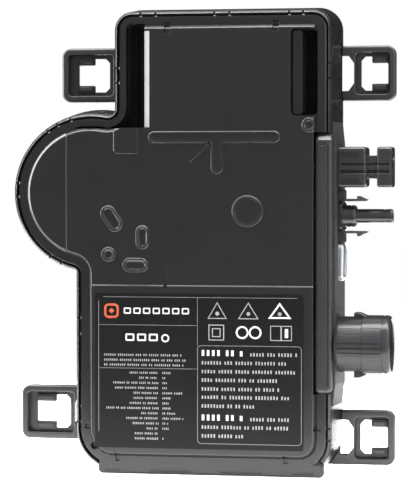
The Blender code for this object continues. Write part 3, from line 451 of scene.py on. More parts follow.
# Front lid: a thin black moulding that drops inside the tray's lip and is held by snap hooks. Its
# raised panel has a step for the label, deep pockets beside the centre column and low raised marks.
LID_WALL = 2.0
PANEL_INSET = 6.3
PANEL_RISE = 2.5
CRESCENT_DROP = 1.0
LABEL_RISE = 0.8
LABEL_EDGE_Z = 86.2
CRESCENT_X = BULGE_X - 11.2
POCKET_DEPTH = 11.0
FAR = 300.0


def below(z):
    """A region that covers everything under a height."""
    return [(-FAR, -FAR), (FAR, -FAR), (FAR, z), (-FAR, z)]


def left_of(x):
    """A region that covers everything left of a place."""
    return [(-FAR, -FAR), (x, -FAR), (x, FAR), (-FAR, FAR)]


def circle(centre_x, centre_z, radius, sides=24):
    """A circle as a list of points."""
    return arc(centre_x, centre_z, radius, 0, 360 - 360 / sides, sides - 1)


def capsule(half_x, half_z):
    """A bar with full round ends about its own origin."""
    radius = min(half_x, half_z) * 0.999
    return rounded_box(-half_x, -half_z, half_x, half_z, radius, 8)


apron = rounded_box(APRON_LEFT, 0.0, APRON_RIGHT, APRON_TOP, 2.2)
lid_outline = case_outline(-LID_INSET)
panel = case_outline(-PANEL_INSET)
SADDLE_LOW, SADDLE_HIGH = 38.0, 154.6
SADDLE_WIDTH = 7.2
SEAM = 0.3
saddle_room = rectangle(RIM_RIGHT - SADDLE_WIDTH - SEAM, SADDLE_LOW - SEAM, FAR, SADDLE_HIGH + SEAM)
lid = Relief([lid_outline, apron], [saddle_room])
panel_shoulder = [(-1.9, 2.5), (-1.6, 2.5), (-1.35, 2.42), (-1.1, 2.2), (-0.3, 1.15), (0.0, 0.6), (0.2, 0.0)]
panel_edge = lid.level([panel], [(offset, height / PANEL_RISE) for offset, height in panel_shoulder])
LABEL_STEP = [(-1.2, 1.0), (-0.8, 1.0), (-0.55, 0.94), (0.0, 0.06), (0.15, 0.0), (0.4, 0.0)]
CRESCENT_STEP = [(-0.6, 1.0), (-0.35, 1.0), (-0.1, 0.93), (0.5, 0.08), (0.75, 0.0), (1.0, 0.0)]
label_step = lid.level([below(LABEL_EDGE_Z)], LABEL_STEP)
crescent_step = lid.level([left_of(CRESCENT_X)], CRESCENT_STEP)
RIM_ROUND = [(-1.3, 0.0), (-0.9, 0.05), (-0.5, 0.25), (-0.2, 0.55), (0.0, 0.9)]
lid_round = lid.level([lid_outline], RIM_ROUND)
apron_round = lid.level([apron], RIM_ROUND)

POCKET_MOUTH = [(0.0, 0.2), (0.25, 0.04), (0.5, 0.0)]
LEFT_POCKET_LOW, RAMP_LEFT, RAMP_EDGE, RAMP_RIGHT, RAMP_TOP = 157.3, -24.2, -21.5, -20.6, 200.8
RIGHT_POCKET = (43.2, 162.6, 54.2, 200.6)
SHELF_RIGHT = 48.2
POCKET_ROUND = 1.6
left_pocket = lid.level([case_outline(-PANEL_INSET + 0.5), rectangle(-FAR, LEFT_POCKET_LOW, RAMP_LEFT, FAR)],
                        [(-0.4, 1.0), (-0.1, 0.97), *POCKET_MOUTH])
RAMP_STEEP = 0.78
ramp_room = rectangle(RAMP_LEFT, LEFT_POCKET_LOW, RAMP_RIGHT, RAMP_TOP)
left_ramp = lid.level([ramp_room], [(-0.1, 1.0), (0.0, 0.0)])
ramp_edge = lid.level([left_of(RAMP_EDGE)], [(-0.02, 0.0), (0.0, 0.0), (0.25, 0.0)])
column_line = lid.level([rectangle(RAMP_RIGHT - 0.3, 159.0, RAMP_RIGHT, 199.0)], sunk(0.25, 0.1))
right_pocket = lid.level([rounded_box(*RIGHT_POCKET, POCKET_ROUND)], [(-0.1, 1.0), *POCKET_MOUTH])
shelf_outline = rounded_box(*RIGHT_POCKET[:2], SHELF_RIGHT, RIGHT_POCKET[3], POCKET_ROUND)
right_shelf = lid.level([shelf_outline], [(-0.3, 1.0), (0.0, 0.9), (0.1, 0.0)])
pocket_rib = lid.level([rectangle(-29.4, 150.0, -28.8, 201.0)], [(-0.2, 1.4), (0.1, 0.0)])

MARK_CREST = [(-1.1, 0.62), (-0.85, 0.72), (-0.55, 0.68), (-0.15, 0.1), (0.05, 0.0), (0.3, 0.0)]
MARK_RING = [(-2.2, 0.1), (-1.8, 0.14), *MARK_CREST]
T_CREST = [(-1.3, 0.45), (-0.9, 0.62), (-0.65, 0.7), (-0.4, 0.64), (0.0, 0.08), (0.15, 0.0), (0.4, 0.0)]
DISC_CREST = [(-1.6, 0.35), (-1.0, 0.66), (-0.75, 0.72), (-0.5, 0.68), (-0.08, 0.08), (0.1, 0.0), (0.35, 0.0)]
bar_left, bar_right, stem_x = WAIST_LEFT + 34.0, RIM_RIGHT - 22.5, 9.4
rib = arc(bar_right - 2.6, 152.8, 2.6, -90, 90, 10) + arc(bar_left + 2.6, 152.8, 2.6, 90, 270, 10)
rib += [(stem_x - 2.8, 150.2)] + arc(stem_x, 139.0, 2.7, 180, 360, 10) + [(stem_x + 2.8, 150.2)]
tag = [(-38.0, 157.0), (-38.0, 147.0), (-36.6, 145.5), (-27.0, 145.5), (-27.0, 157.0)]
MARKS = [
    (rib, T_CREST),
    (arc(RIM_RIGHT - 37.2, 119.6, 7.1, 0, 352, 44), DISC_CREST),
    (turned_about(capsule(6.5, 3.65), (BULGE_X + 10.1, 116.1), -57), MARK_RING),
    (turned_about(capsule(3.2, 5.5), (BULGE_X + 24.4, 107.7), 0), MARK_RING),
    (circle(BULGE_X + 8.7, 99.9, 3.4), MARK_RING),
    (turned_about(capsule(6.0, 3.3), (BULGE_X + 21.1, 95.1), 0), MARK_RING),
    (circle(RIM_RIGHT - 9.5, 158.0, 3.4), MARK_RING),
    (turned_about(capsule(4.4, 0.35), (1.5, 145.3), 42.6), raised(0.25, 0.15)),
    (circle(-2.2, 141.9, 0.75, 12), raised(0.5, 0.3)),
    (circle(5.2, 148.9, 0.75, 12), raised(0.5, 0.3)),
    (tag, raised(0.35, 0.25, 0.15)),
    (rounded_box(-14.5, 86.6, -13.9, 93.6, 0.25), sunk(0.4, 0.15)),
    (circle(APRON_LEFT - 1.4, 12.8, 1.8), sunk(2.5, 0.2)),
]
marks = [lid.level([outline], profile) for outline, profile in MARKS]
NOTCH_DEPTH = 1.3
NOTCHES = [(-13.5, 201.9, 1.3, 2.6), (35.8, 202.3, 1.3, 2.6), (-14.2, 85.6, 0.7, 1.2),
           (-50.6, 21.5, 1.4, 1.1), (-36.8, 7.9, 0.9, 2.0), (40.3, 8.2, 0.9, 2.0), (54.6, 22.2, 1.4, 1.0)]
notches = [lid.level([rectangle(x - w, z - h, x + w, z + h)], sunk(NOTCH_DEPTH, 0.15))
           for x, z, w, h in NOTCHES]
DASHES = [(-42.1, -35.4), (-21.7, -2.6), (10.2, 29.5), (43.3, 53.4)]
dashes = [lid.level([rounded_box(x0, 1.5, x1, 2.3, 0.35)], sunk(0.35, 0.2)) for x0, x1 in DASHES]


def lid_front(points):
    """Depth of the lid's face."""
    rise = PANEL_RISE + LABEL_RISE * label_step(points) - CRESCENT_DROP * crescent_step(points)
    height = panel_edge(points) * rise
    for mark in [*marks, *notches, *dashes, ramp_edge, column_line]:
        height = height + mark(points)
    pocket_floor = -POCKET_DEPTH + pocket_rib(points)
    height = height + (pocket_floor - height) * left_pocket(points)
    ramp = PANEL_RISE - RAMP_STEEP * np.maximum(RAMP_EDGE - points[:, 0], 0.0)
    height = height + (ramp - height) * left_ramp(points)
    shelf = -POCKET_DEPTH + right_shelf(points) * (POCKET_DEPTH + 0.2)
    height = height + (shelf - height) * right_pocket(points)
    inside = np.minimum(lid_round(points), apron_round(points))
    return LID_Y - height + inside


def lid_back(points):
    """Depth of the lid's inner face."""
    return lid_front(points) + LID_WALL


lid_black = Finish("lid_black", 0.3)
# Painted shade: with depth below the panel face, the lid's colour runs to near black (0.0008) and its gloss
# turns matt, standing in for the shade inside the deep pockets.
lid_depth = lid_black.node("SeparateXYZ", {}, {"Vector": lid_black.place}, 1)
painted_pocket_shade = lid_black.node("MapRange", {"clamp": True}, {"Value": lid_depth, 1: (LID_Y + 1.2) * MM,
                                                       2: (LID_Y + 6.0) * MM, 3: 0.0, 4: 1.0})
lid_flow = lid_black.noise(38.0, 3.0) * 0.7 + lid_black.noise(1.6, 2.0) * 0.3
lid_tone = lid_black.colours(lid_flow, (0.0035, 0.0036, 0.0038), (0.0055, 0.0056, 0.0059))
lid_black.paint(Base_Color=lid_black.colours(painted_pocket_shade, lid_tone, (0.0008, 0.0008, 0.0009)))
lid_gloss = lid_black.noise(9.0, 4.0) * 0.1 + lid_black.noise(1.6, 2.0) * 0.06
lid_black.paint(Roughness=lid_gloss + 0.22 + painted_pocket_shade * 0.6)
lid_black.bump(lid_black.noise(0.5, 2.0), 0.005)
front_lid = Moulding()
front_lid.add(*lid.skin(lid_front, lid_back))
front_lid.piece("lid_moulding", lid_black.material, "lid_black", ["front_lid"])

# Rating label: a matt dark film in its field on the raised panel, printed in grey and white. The
# print is plain greeked rows, rules and simple shapes, so it carries no words or marks.
label_low, label_high = box_mm("rating_label")
FILM_BACK = LID_Y - PANEL_RISE - LABEL_RISE - 0.02
INK_BACK, INK_Y = label_low.y + 0.02, label_low.y - 0.03
film_outline = rounded_box(label_low.x, label_low.z, label_high.x, label_high.z, 1.5)
film = Moulding()
film.slab(film_outline, ((FILM_BACK, 0.0), (label_low.y + 0.04, 0.0), (label_low.y, -0.08)))
film_black = Finish("label_film", 0.45, Specular_IOR_Level=0.18)
film_tone = film_black.noise(30.0, 2.0)
film_black.paint(Base_Color=film_black.colours(film_tone, (0.0022, 0.0022, 0.0024), (0.0036, 0.0036, 0.0038)))
film_black.paint(Roughness=film_black.noise(4.0, 3.0) * 0.12 + 0.36)
film_black.bump(film_black.noise(0.8, 2.0), 0.003)
film.piece("label_film", film_black.material, "label_film", ["rating_label"])


def ink(name, colour):
    """Screen-printed ink with slightly uneven cover."""
    finish = Finish(name, 0.55)
    cover = finish.noise(0.7, 2.0)
    thin, full = (tuple(value * share for value in colour) for share in (0.6, 0.75))
    finish.paint(Base_Color=finish.colours(cover, thin, full))
    finish.paint(Roughness=cover * 0.2 + 0.45)
    return finish.material


def stamp(print_, outline):
    """One filled printed shape."""
    print_.slab(outline, ((INK_BACK, 0.0), (INK_Y, 0.0)))


def rule(print_, outline, width):
    """A printed line along a closed outline."""
    half = width / 2
    print_.slab(outline, ((INK_BACK, half), (INK_Y, half), (INK_Y, -half), (INK_BACK, -half)), closed=True)


def greeked(print_, low_x, high_x, low_z, high_z, letter, seed):
    """A row of small blocks in word-like groups."""
    spread = np.random.RandomState(seed)
    x = low_x
    while x < high_x - letter:
        for _ in range(spread.randint(2, 9)):
            if x > high_x - letter:
                break
            drop = (high_z - low_z) * spread.choice([0.0, 0.0, 0.12])
            stamp(print_, rectangle(x, low_z, x + letter * 0.5, high_z - drop))
            x += letter
        x += letter * 0.7


MIDDLE_X = 0.6
HAIRLINES = ((-44.9, 19.5, -44.6, 79.0), (-42.8, 80.6, 46.0, 80.85), (MIDDLE_X, 59.0, MIDDLE_X + 0.25, 80.6),
             (-44.6, 67.95, MIDDLE_X, 68.2), (-44.6, 48.35, MIDDLE_X, 48.6))
rules, rows, heads, badge = Moulding(), Moulding(), Moulding(), Moulding()
for hairline in HAIRLINES:
    stamp(rules, rectangle(*hairline))
rule(rules, rounded_box(0.8, 14.9, 47.9, 59.1, 1.6), 0.3)
for number in range(7):
    x = -32.8 + 4.45 * number
    rule(heads, rounded_box(x, 73.4, x + 2.7, 75.6, 0.2, 3), 0.62)
for x in (-32.0, -26.6, -21.2):
    rule(heads, rounded_box(x, 61.2, x + 3.4, 63.8, 0.2, 3), 0.75)
rule(heads, circle(-14.0, 62.2, 1.5), 0.7)
for number, (z, end) in enumerate(((54.0, -5.6), (51.7, -3.4), (49.5, -4.7))):
    greeked(rows, -42.2, end, z, z + 1.0, 0.95, number)
starts = (-30.4, -26.0, -38.0, -37.2, -28.6, -28.6, -30.4, -41.2, -25.0, -32.0, -29.0, -22.6, -28.0, -28.0)
ends = (-10.7, -12.6, -12.6, -12.6, -5.2, -10.8, -11.6, -10.6, -8.4, -5.0, -12.2, -11.4, -14.6, -14.0)
for number, (start, end) in enumerate(zip(starts, ends)):
    z = 46.0 - 2.29 * number
    greeked(rows, start, -16.6, z, z + 0.95, 0.8, 20 + number)
    greeked(rows, -15.3, end, z, z + 0.95, 0.8, 40 + number)
for z, heading_end, row_end in ((54.5, 23.4, 46.6), (25.4, 23.4, 43.0)):
    greeked(heads, 2.7, heading_end, z, z + 2.6, 2.35, 3)
    greeked(rows, 24.8, row_end, z, z + 1.6, 1.35, 5)
row_ends = ((50.6, 42.0), (46.7, 45.8), (42.8, 39.6), (38.8, 39.6), (35.1, 43.5), (31.1, 27.6), (21.6, 43.5),
            (17.6, 23.4))
for number, (z, end) in enumerate(row_ends):
    greeked(rows, 2.7, end, z, z + 1.6, 1.35, 60 + number)


def triangle(centre_x, low_z, width, height):
    """A triangle that stands on its base."""
    return [(centre_x - width / 2, low_z), (centre_x + width / 2, low_z), (centre_x, low_z + height)]


rule(rows, triangle(9.75, 71.4, 8.2, 7.0), 0.4)
rule(rows, triangle(23.9, 71.4, 8.8, 7.0), 0.4)
rule(heads, triangle(38.1, 71.9, 9.0, 6.2), 0.8)
for x in (9.75, 23.9, 38.1):
    stamp(rows, circle(x, 73.6, 0.9, 12))
rule(rows, rectangle(6.0, 61.7, 12.7, 68.4), 0.45)
rule(rows, rectangle(7.6, 63.2, 11.1, 66.8), 0.45)
for x in (21.1, 27.0):
    rule(heads, circle(x, 65.2, 2.5), 0.8)
rule(rows, rectangle(34.0, 61.8, 38.6, 68.2), 0.35)
rule(rows, rectangle(38.9, 61.8, 43.4, 68.2), 0.35)
stamp(heads, rectangle(40.4, 63.0, 41.9, 67.0))
rule(badge, rounded_box(-41.7, 71.6, -35.9, 77.2, 1.6), 1.0)
stamp(badge, turned_about(rectangle(-0.9, -0.9, 0.9, 0.9), (-38.8, 74.4), 45))
rules.piece("label_rules", ink("ink_grey", (0.16, 0.16, 0.165)), "label_film")
rows.piece("label_rows", ink("ink_pale", (0.33, 0.33, 0.335)), "label_film")
heads.piece("label_headings", ink("ink_white", (0.72, 0.72, 0.72)), "label_film")
badge.piece("label_badge", ink("ink_orange", (0.55, 0.085, 0.025)), "label_film")

# Mounting plate: the black moulded back with four ears. Each ear is a shallow frame round a keyhole
# for the rail bolt, with two ledges that grip the bolt's collar; screws join the plate to the tray.
plate_low, plate_high = box_mm("mounting_plate")
PLATE_BACK = plate_high.y
PLATE_FRONT = PLATE_BACK - 3.0
EAR_FRONT = PLATE_BACK - 8.0
EAR_HALF = 12.5
EAR_BAR = 3.0
EAR_FLOOR = 4.0
EAR_ROUND = 4.0
WIDE, NARROW = 7.75, 4.7
WEB = 3.0
UPPER_EAR_Z = RIM_TOP + DRAFT - 30.0
ears = []
for side, wall, outer, z, reaches in ((-1, -NECK_LEFT, -NECK_LEFT + 29.7, UPPER_EAR_Z, (7.8, 14.8, 22.4)),
                                      (1, RIM_RIGHT, plate_high.x, UPPER_EAR_Z, (11.0, 16.0, 23.2)),
                                      (-1, -WAIST_LEFT, -plate_low.x, 25.2, (8.8, 15.2, 24.6)),
                                      (1, RIM_RIGHT, plate_high.x, 16.0, (11.0, 16.0, 23.2))):
    ears.append((side, outer, z, [wall + reach for reach in reaches], wall))


def sided(points, side):
    """Points of an ear, mirrored for the left side."""
    return [(side * x, z) for x, z in points]


case_back = case_outline(DRAFT)
shapes, holes = [case_back], []
for side, outer, z, (inner, step, far), wall in ears:
    shapes.append(sided(arc(outer - EAR_ROUND, z - EAR_HALF + EAR_ROUND, EAR_ROUND, -90, 0, 8)
                        + arc(outer - EAR_ROUND, z + EAR_HALF - EAR_ROUND, EAR_ROUND, 0, 90, 8)
                        + [(wall - 8.0, z + EAR_HALF), (wall - 8.0, z - EAR_HALF)], side))
    cut = 1.9
    keyhole = [(inner, cut - WIDE), (inner + cut, -WIDE), (step, -WIDE), (step, -NARROW - 0.4),
               (step + 0.4, -NARROW), (far - 0.4, -NARROW), (far, 0.4 - NARROW)]
    keyhole += [(x, -up) for x, up in reversed(keyhole)]
    holes.append(sided([(x, z + up) for x, up in keyhole], side))
    web_x, near = inner - WEB, wall + DRAFT - 0.5
    cut = min(2.5, (web_x - near) * 0.6)
    holes.append(sided([(near, z - 8), (web_x - cut, z - 8), (web_x, z - 4.5), (web_x, z + 4.5),
                        (web_x - cut, z + 8), (near, z + 8)], side))
plate = Relief(shapes, holes)
case_room = plate.level([case_outline(DRAFT + 0.4)], [(-0.1, 1.0), (0.0, 0.0)])
EAR_RIM = [(-1.2, 0.0), (-0.8, 0.08), (-0.45, 0.3), (-0.15, 0.65), (0.0, 1.0)]
ear_levels = []


def ear_level(outline, side, profile):
    """Adds a level on an ear from a profile whose heights stand towards the front."""
    ear_levels.append(plate.level([sided(outline, side)], [(offset, -height) for offset, height in profile]))


for (side, outer, z, (inner, step, far), wall), outline in zip(ears, shapes[1:]):
    ear_levels.append(plate.level([outline], EAR_RIM))
    reach = EAR_HALF - EAR_BAR
    tray_box = rounded_box(inner - 2.4, z - reach, outer - EAR_BAR, z + reach, 1.8, 6)
    ear_level(tray_box, side, sunk(EAR_FLOOR, 0.45, 0.12))
    for low_z, high_z in ((z + NARROW, z + WIDE + 0.5), (z - WIDE - 0.5, z - NARROW)):
        ear_level(rounded_box(step, low_z, far + 0.2, high_z, 0.5), side, raised(1.6, 0.35))
        pad = rounded_box(step + 0.8, low_z + 0.8, far - 0.7, high_z - 0.8, 0.3)
        ear_level(pad, side, raised(0.7, 0.3, 0.2))
ribs = []
grid_left, grid_right = WAIST_LEFT + 16.0, RIM_RIGHT - 16.0
grid_low, grid_high = RIM_BOTTOM + 20.0, RIM_TOP - 24.0
COLUMNS, ROWS, RIB = 4, 7, 2.4
cell_x = (grid_right - grid_left - RIB * (COLUMNS - 1)) / COLUMNS
cell_z = (grid_high - grid_low - RIB * (ROWS - 1)) / ROWS
for row in range(ROWS):
    for column in range(COLUMNS):
        x, z = grid_left + column * (cell_x + RIB), grid_low + row * (cell_z + RIB)
        if x >= NECK_LEFT + 4 or z + cell_z <= BULGE_Z + 22:
            ribs.append(plate.level([rounded_box(x, z, x + cell_x, z + cell_z, 1.8)], sunk(1.5, 0.35, 0.1)))
SCREWS = range(1, 7)
SEAT_RADIUS = 3.1
screw_seats = []
for number in SCREWS:
    low, high = box_mm(f"plate_screw_{number}")
    seat_rim = circle((low.x + high.x) / 2, (low.z + high.z) / 2, SEAT_RADIUS, 30)
    screw_seats.append(plate.level([seat_rim], sunk(2.5, 0.25)))
BACK_ROUND = [(-0.9, 0.0), (-0.5, -0.04), (-0.2, -0.2), (0.0, -0.5)]
back_edges = [plate.level([outline], BACK_ROUND) for outline in shapes]


def plate_front(points):
    """Depth of the plate's front face."""
    depth = EAR_FRONT + sum(level(points) for level in ear_levels)
    return depth + (PLATE_FRONT - depth) * case_room(points)


def plate_back(points):
    """Depth of the plate's back face."""
    return (PLATE_BACK + sum(level(points) for level in [*ribs, *screw_seats])
            + np.max([level(points) for level in back_edges], axis=0))


frame_black = moulded_black("frame_black", (0.020, 0.0204, 0.0215), 0.32)
mounting_plate = Moulding()
mounting_plate.add(*plate.skin(plate_front, plate_back))
mounting_plate.piece("back_plate", frame_black, "frame_black", ["mounting_plate"])

# Plate screws: zinc-plated pan-head screws with a plain recess, seated in the plate's counterbores.
steel = Finish("screw_steel", 0.34, 1.0)
steel.paint(Base_Color=steel.colours(steel.noise(1.2, 3.0), (0.42, 0.43, 0.44), (0.58, 0.585, 0.59)))
steel.paint(Roughness=steel.noise(0.5, 3.0) * 0.25 + 0.24)
steel.bump(steel.noise(0.25, 2.0, (1.0, 6.0, 1.0)), 0.004)
for number in SCREWS:
    low, high = box_mm(f"plate_screw_{number}")
    centre_x, centre_z = (low.x + high.x) / 2, (low.z + high.z) / 2
    head = (high.x - low.x) / 2
    seat = high.y - 1.8
    profile = [(low.y, 0.9), (low.y + 0.6, 1.45), (seat, 1.45), (seat + 0.02, head - 0.25),
               (seat + 0.25, head), (seat + 0.9, head), (seat + 1.3, head - 0.2), (seat + 1.6, head - 0.65),
               (high.y, head - 1.2), (high.y, 1.35), (high.y - 0.15, 1.2), (high.y - 1.0, 1.1)]
    screw = Moulding()
    screw.loft([[(x, y, z) for x, z in circle(centre_x, centre_z, radius)] for y, radius in profile])
    screw.piece(f"screw_{number}", steel.material, "screw_steel", [f"plate_screw_{number}"])

# Clamp strip: a moulded black bar that closes the rim beside the connectors. It has a rounded rim, a
# long seam, a notch and three fine lines, and sits in the saddle that the lid leaves.
strip_low, strip_high = box_mm("connector_clamp_strip")
STRIP_FRONT = strip_low.y - 0.5
STRIP_LEFT = strip_low.x - 1.6
strip = Relief([rounded_box(STRIP_LEFT, strip_low.z, strip_high.x, strip_high.z, 2.4)])
STRIP_SEAM_X = strip_high.x - 1.9
STRIP_ROUND = [(-2.0, 0.0), (-1.3, 0.05), (-0.8, 0.25), (-0.3, 0.8), (0.0, 1.4)]
strip_edge = strip.level(strip.shapes, STRIP_ROUND)
seam = rectangle(STRIP_SEAM_X - 0.3, strip_low.z + 3.2, STRIP_SEAM_X + 0.3, strip_high.z - 5.2)
strip_seam = strip.level([seam], sunk(0.7, 0.15))
strip_step = strip.level([below(strip_high.z - 1.0)], [(-2.6, 0.0), (-2.2, 0.05), (-0.6, 1.5), (0.0, 1.9)])
notch = rectangle(STRIP_LEFT + 1.2, strip_high.z - 5.6, strip_high.x - 3.0, strip_high.z - 4.2)
strip_notch = strip.level([notch], sunk(0.5, 0.3))
fine_lines = [strip.level([rectangle(x, strip_low.z + 5.0, x + 0.25, strip_high.z - 7.0)], sunk(0.12, 0.1))
              for x in (STRIP_LEFT + 2.3, STRIP_LEFT + 3.4, STRIP_LEFT + 4.5)]


def strip_front(points):
    """Depth of the strip's front face."""
    lines = sum(line(points) for line in fine_lines)
    sunk_parts = strip_seam(points) + strip_notch(points) + lines
    return STRIP_FRONT + strip_edge(points) + strip_step(points) - sunk_parts


strip_black = moulded_black("strip_black", (0.022, 0.0224, 0.0235), 0.30)
clamp_strip = Moulding()
clamp_strip.add(*strip.skin(strip_front, lambda points: np.full(len(points), strip_high.y)))
clamp_strip.piece("clamp_strip", strip_black, "shell_black", ["connector_clamp_strip"])

# Connector bulkhead: a shallow plate on the drafted side wall, ramped at both ends, through which
# the three connectors and the light guide pass.
bulk_low, bulk_high = box_mm("connector_bulkhead")
PROUD = 1.6
BULK_FRONT, BULK_BACK = bulk_low.y, bulk_high.y


def wall_x(y):
    """X of the connector side's outer wall at depth y."""
    return RIM_RIGHT + wall_grow(y)


def foot_x(y):
    """X of the bulkhead's outer face at depth y."""
    return wall_x(y) + PROUD


bulkhead = Moulding()
rings = []
for z, proud in ((bulk_low.z, 0.3), (bulk_low.z + 0.3, 0.55), (bulk_low.z + 9.6, PROUD - 0.12),
                 (bulk_low.z + 10.4, PROUD), (bulk_high.z - 9.6, PROUD), (bulk_high.z - 8.8, PROUD - 0.12),
                 (bulk_high.z - 0.3, 0.55), (bulk_high.z, 0.3)):
    rounding = min(0.5, proud * 0.6)
    shave = rounding * 0.3
    section = [(0.02, BULK_FRONT), (proud - rounding, BULK_FRONT), (proud - shave, BULK_FRONT + shave),
               (proud, BULK_FRONT + rounding), (proud, BULK_BACK - rounding),
               (proud - shave, BULK_BACK - shave), (proud - rounding, BULK_BACK), (0.02, BULK_BACK)]
    rings.append([(wall_x(y) + out, y, z) for out, y in section])
bulkhead.loft(rings)
side_black = moulded_black("side_black", (0.030, 0.031, 0.033), 0.5, Specular_IOR_Level=0.15)
bulkhead.piece("bulkhead_plate", side_black, "shell_black", ["connector_bulkhead"])

# DC socket: a flattened plug housing with a notched neck for the mating latch, two sunk pads and two
# long slots along its front, and an open bore with a tin-plated contact.
connector_black = moulded_black("connector_black", (0.016, 0.0163, 0.017), 0.20, 0.4, 0.003)
socket_low, socket_high = box_mm("dc_socket_body")
AXIS_Y = (socket_low.y + socket_high.y) / 2
SOCKET_Z = (socket_low.z + socket_high.z) / 2
SOCKET_END = socket_high.x
SOCKET_HALF_Z = (socket_high.z - socket_low.z) / 2
SOCKET_HALF_Y = (socket_high.y - socket_low.y) / 2
GASKET = 0.9
NECK_HALF = 5.2
NECK_KEEP = 4.7
CHANNELS = ((-7.3, -5.2, "pad"), (-3.0, -0.9, "slot"), (0.5, 1.9, "line"), (4.5, 6.7, "pad"))
TURN_STEPS = 6


def neck_z(z, half):
    """Height squeezed towards the neck beyond the part that runs straight through it."""
    beyond = max(abs(z) - NECK_KEEP, 0.0)
    squeezed = NECK_KEEP + beyond * (NECK_HALF - NECK_KEEP) / (half - NECK_KEEP)
    return z if beyond == 0.0 else squeezed * (1 if z > 0 else -1)


def socket_ring(inset, depths, neck=False):
    """One section of the socket as (y, z): front face from bottom to top, then round the back."""
    corner = 1.7
    half_z, half_y = SOCKET_HALF_Z - inset, SOCKET_HALF_Y - inset - (0.3 if neck else 0.0)
    section = []
    for low, high, kind in CHANNELS:
        depth = depths[kind]
        reach = min(depth, (high - low) / 2 - 0.1) if kind != "pad" else 0.15
        bottom = depth - half_y
        section += [(-half_y, low), (bottom, low + reach), (bottom, high - reach), (-half_y, high)]
    for y, z, start in ((corner - half_y, half_z - corner, 180), (half_y - corner, half_z - corner, 90),
                        (half_y - corner, corner - half_z, 0), (corner - half_y, corner - half_z, -90)):
        section += arc(y, z, corner, start, start - 90, TURN_STEPS)
    return [(AXIS_Y + y, SOCKET_Z + (neck_z(z, half_z) if neck else z)) for y, z in section]


FLUSH = {"pad": 0.03, "slot": 0.03, "line": 0.03}
SLOTTED = {"pad": 0.03, "slot": 1.0, "line": 0.65}
OPEN = {"pad": 0.7, "slot": 1.0, "line": 0.65}
NECK = dict(SLOTTED)
socket = Moulding()
rings = []
for offset, inset, depths in ((GASKET, 0.3, FLUSH), (GASKET + 0.3, 0.0, FLUSH), (1.9, 0.0, FLUSH)):
    rings.append([(foot_x(y) + offset, y, z) for y, z in socket_ring(inset, depths)])
STATIONS = [
    (22.8, 0.0, SLOTTED), (22.75, 0.0, OPEN), (15.5, 0.0, OPEN), (15.45, 0.0, SLOTTED), (13.2, 0.0, SLOTTED),
    (12.4, 0.12, SLOTTED), (11.8, 0.45, SLOTTED), (11.5, 0.9, SLOTTED), (11.45, 0.9, NECK), (6.85, 0.9, NECK),
    (6.8, 0.7, SLOTTED), (6.6, 0.3, SLOTTED), (6.1, 0.0, SLOTTED), (1.45, 0.0, SLOTTED), (1.4, 0.0, FLUSH),
    (0.8, 0.03, FLUSH), (0.3, 0.2, FLUSH), (0.0, 0.7, FLUSH),
]
for back, inset, depths in STATIONS:
    rings.append([(SOCKET_END - back, y, z) for y, z in socket_ring(inset, depths, depths is NECK)])
mouth = rings[-1]
for x, radius in ((SOCKET_END, 4.9), (SOCKET_END - 0.4, 4.5), (SOCKET_END - 18.0, 4.5)):
    ring = []
    for _, y, z in mouth:
        angle = atan2(z - SOCKET_Z, y - AXIS_Y)
        ring.append((x, AXIS_Y + radius * cos(angle), SOCKET_Z + radius * sin(angle)))
    rings.append(ring)
socket.loft(rings)
socket.piece("dc_socket_housing", connector_black, "connector_black", ["dc_socket_body"], sharp=28)

# DC plug: a collared foot and a slim barrel with a ring near its open end, for the panel's lead.
plug_low, plug_high = box_mm("dc_plug_body")
PLUG_Z = (plug_low.z + plug_high.z) / 2
PLUG_END = plug_high.x


def barrel_rings(centre_z, profile, sides=56):
    """Rings about a connector's axis from (x, radius) pairs."""
    turns = [2 * pi * side / sides for side in range(sides)]
    return [[(x, AXIS_Y + radius * cos(turn), centre_z + radius * sin(turn)) for turn in turns]
            for x, radius in profile]


COLLAR, BARREL = 4.95, 3.2
plug = Moulding()
FOOT = foot_x(AXIS_Y)
TURNINGS = [
    (19.2, COLLAR), (19.1, COLLAR - 0.3), (18.7, COLLAR - 0.3), (18.6, COLLAR), (17.6, COLLAR),
    (16.9, COLLAR - 0.25), (16.5, COLLAR - 0.7), (16.3, COLLAR - 1.3), (16.3, BARREL + 0.1), (16.1, BARREL),
    (4.1, BARREL),
    (4.0, BARREL - 0.22), (3.5, BARREL - 0.22), (3.4, BARREL), (0.8, BARREL), (0.3, BARREL - 0.2),
    (0.0, BARREL - 0.7), (0.0, 2.1), (0.3, 1.8), (12.0, 1.8),
]
plug.loft(barrel_rings(PLUG_Z, [
    (wall_x(AXIS_Y) - 3.0, 3.4), (FOOT + 0.6, 3.4), (FOOT + 0.65, COLLAR - 0.3), (FOOT + 0.9, COLLAR),
    *((PLUG_END - back, radius) for back, radius in TURNINGS)]))
plug_foot = rounded_box(AXIS_Y - 4.6, PLUG_Z - 6.2, AXIS_Y + 4.6, PLUG_Z + 6.2, 1.8)
plug.loft([[(foot_x(y) + out, y, z) for y, z in moved(plug_foot, grow)]
           for out, grow in ((0.75, 0.0), (1.7, 0.0), (1.95, -0.08), (2.1, -0.35))])
plug.piece("dc_plug_housing", connector_black, "connector_black", ["dc_plug_body"])

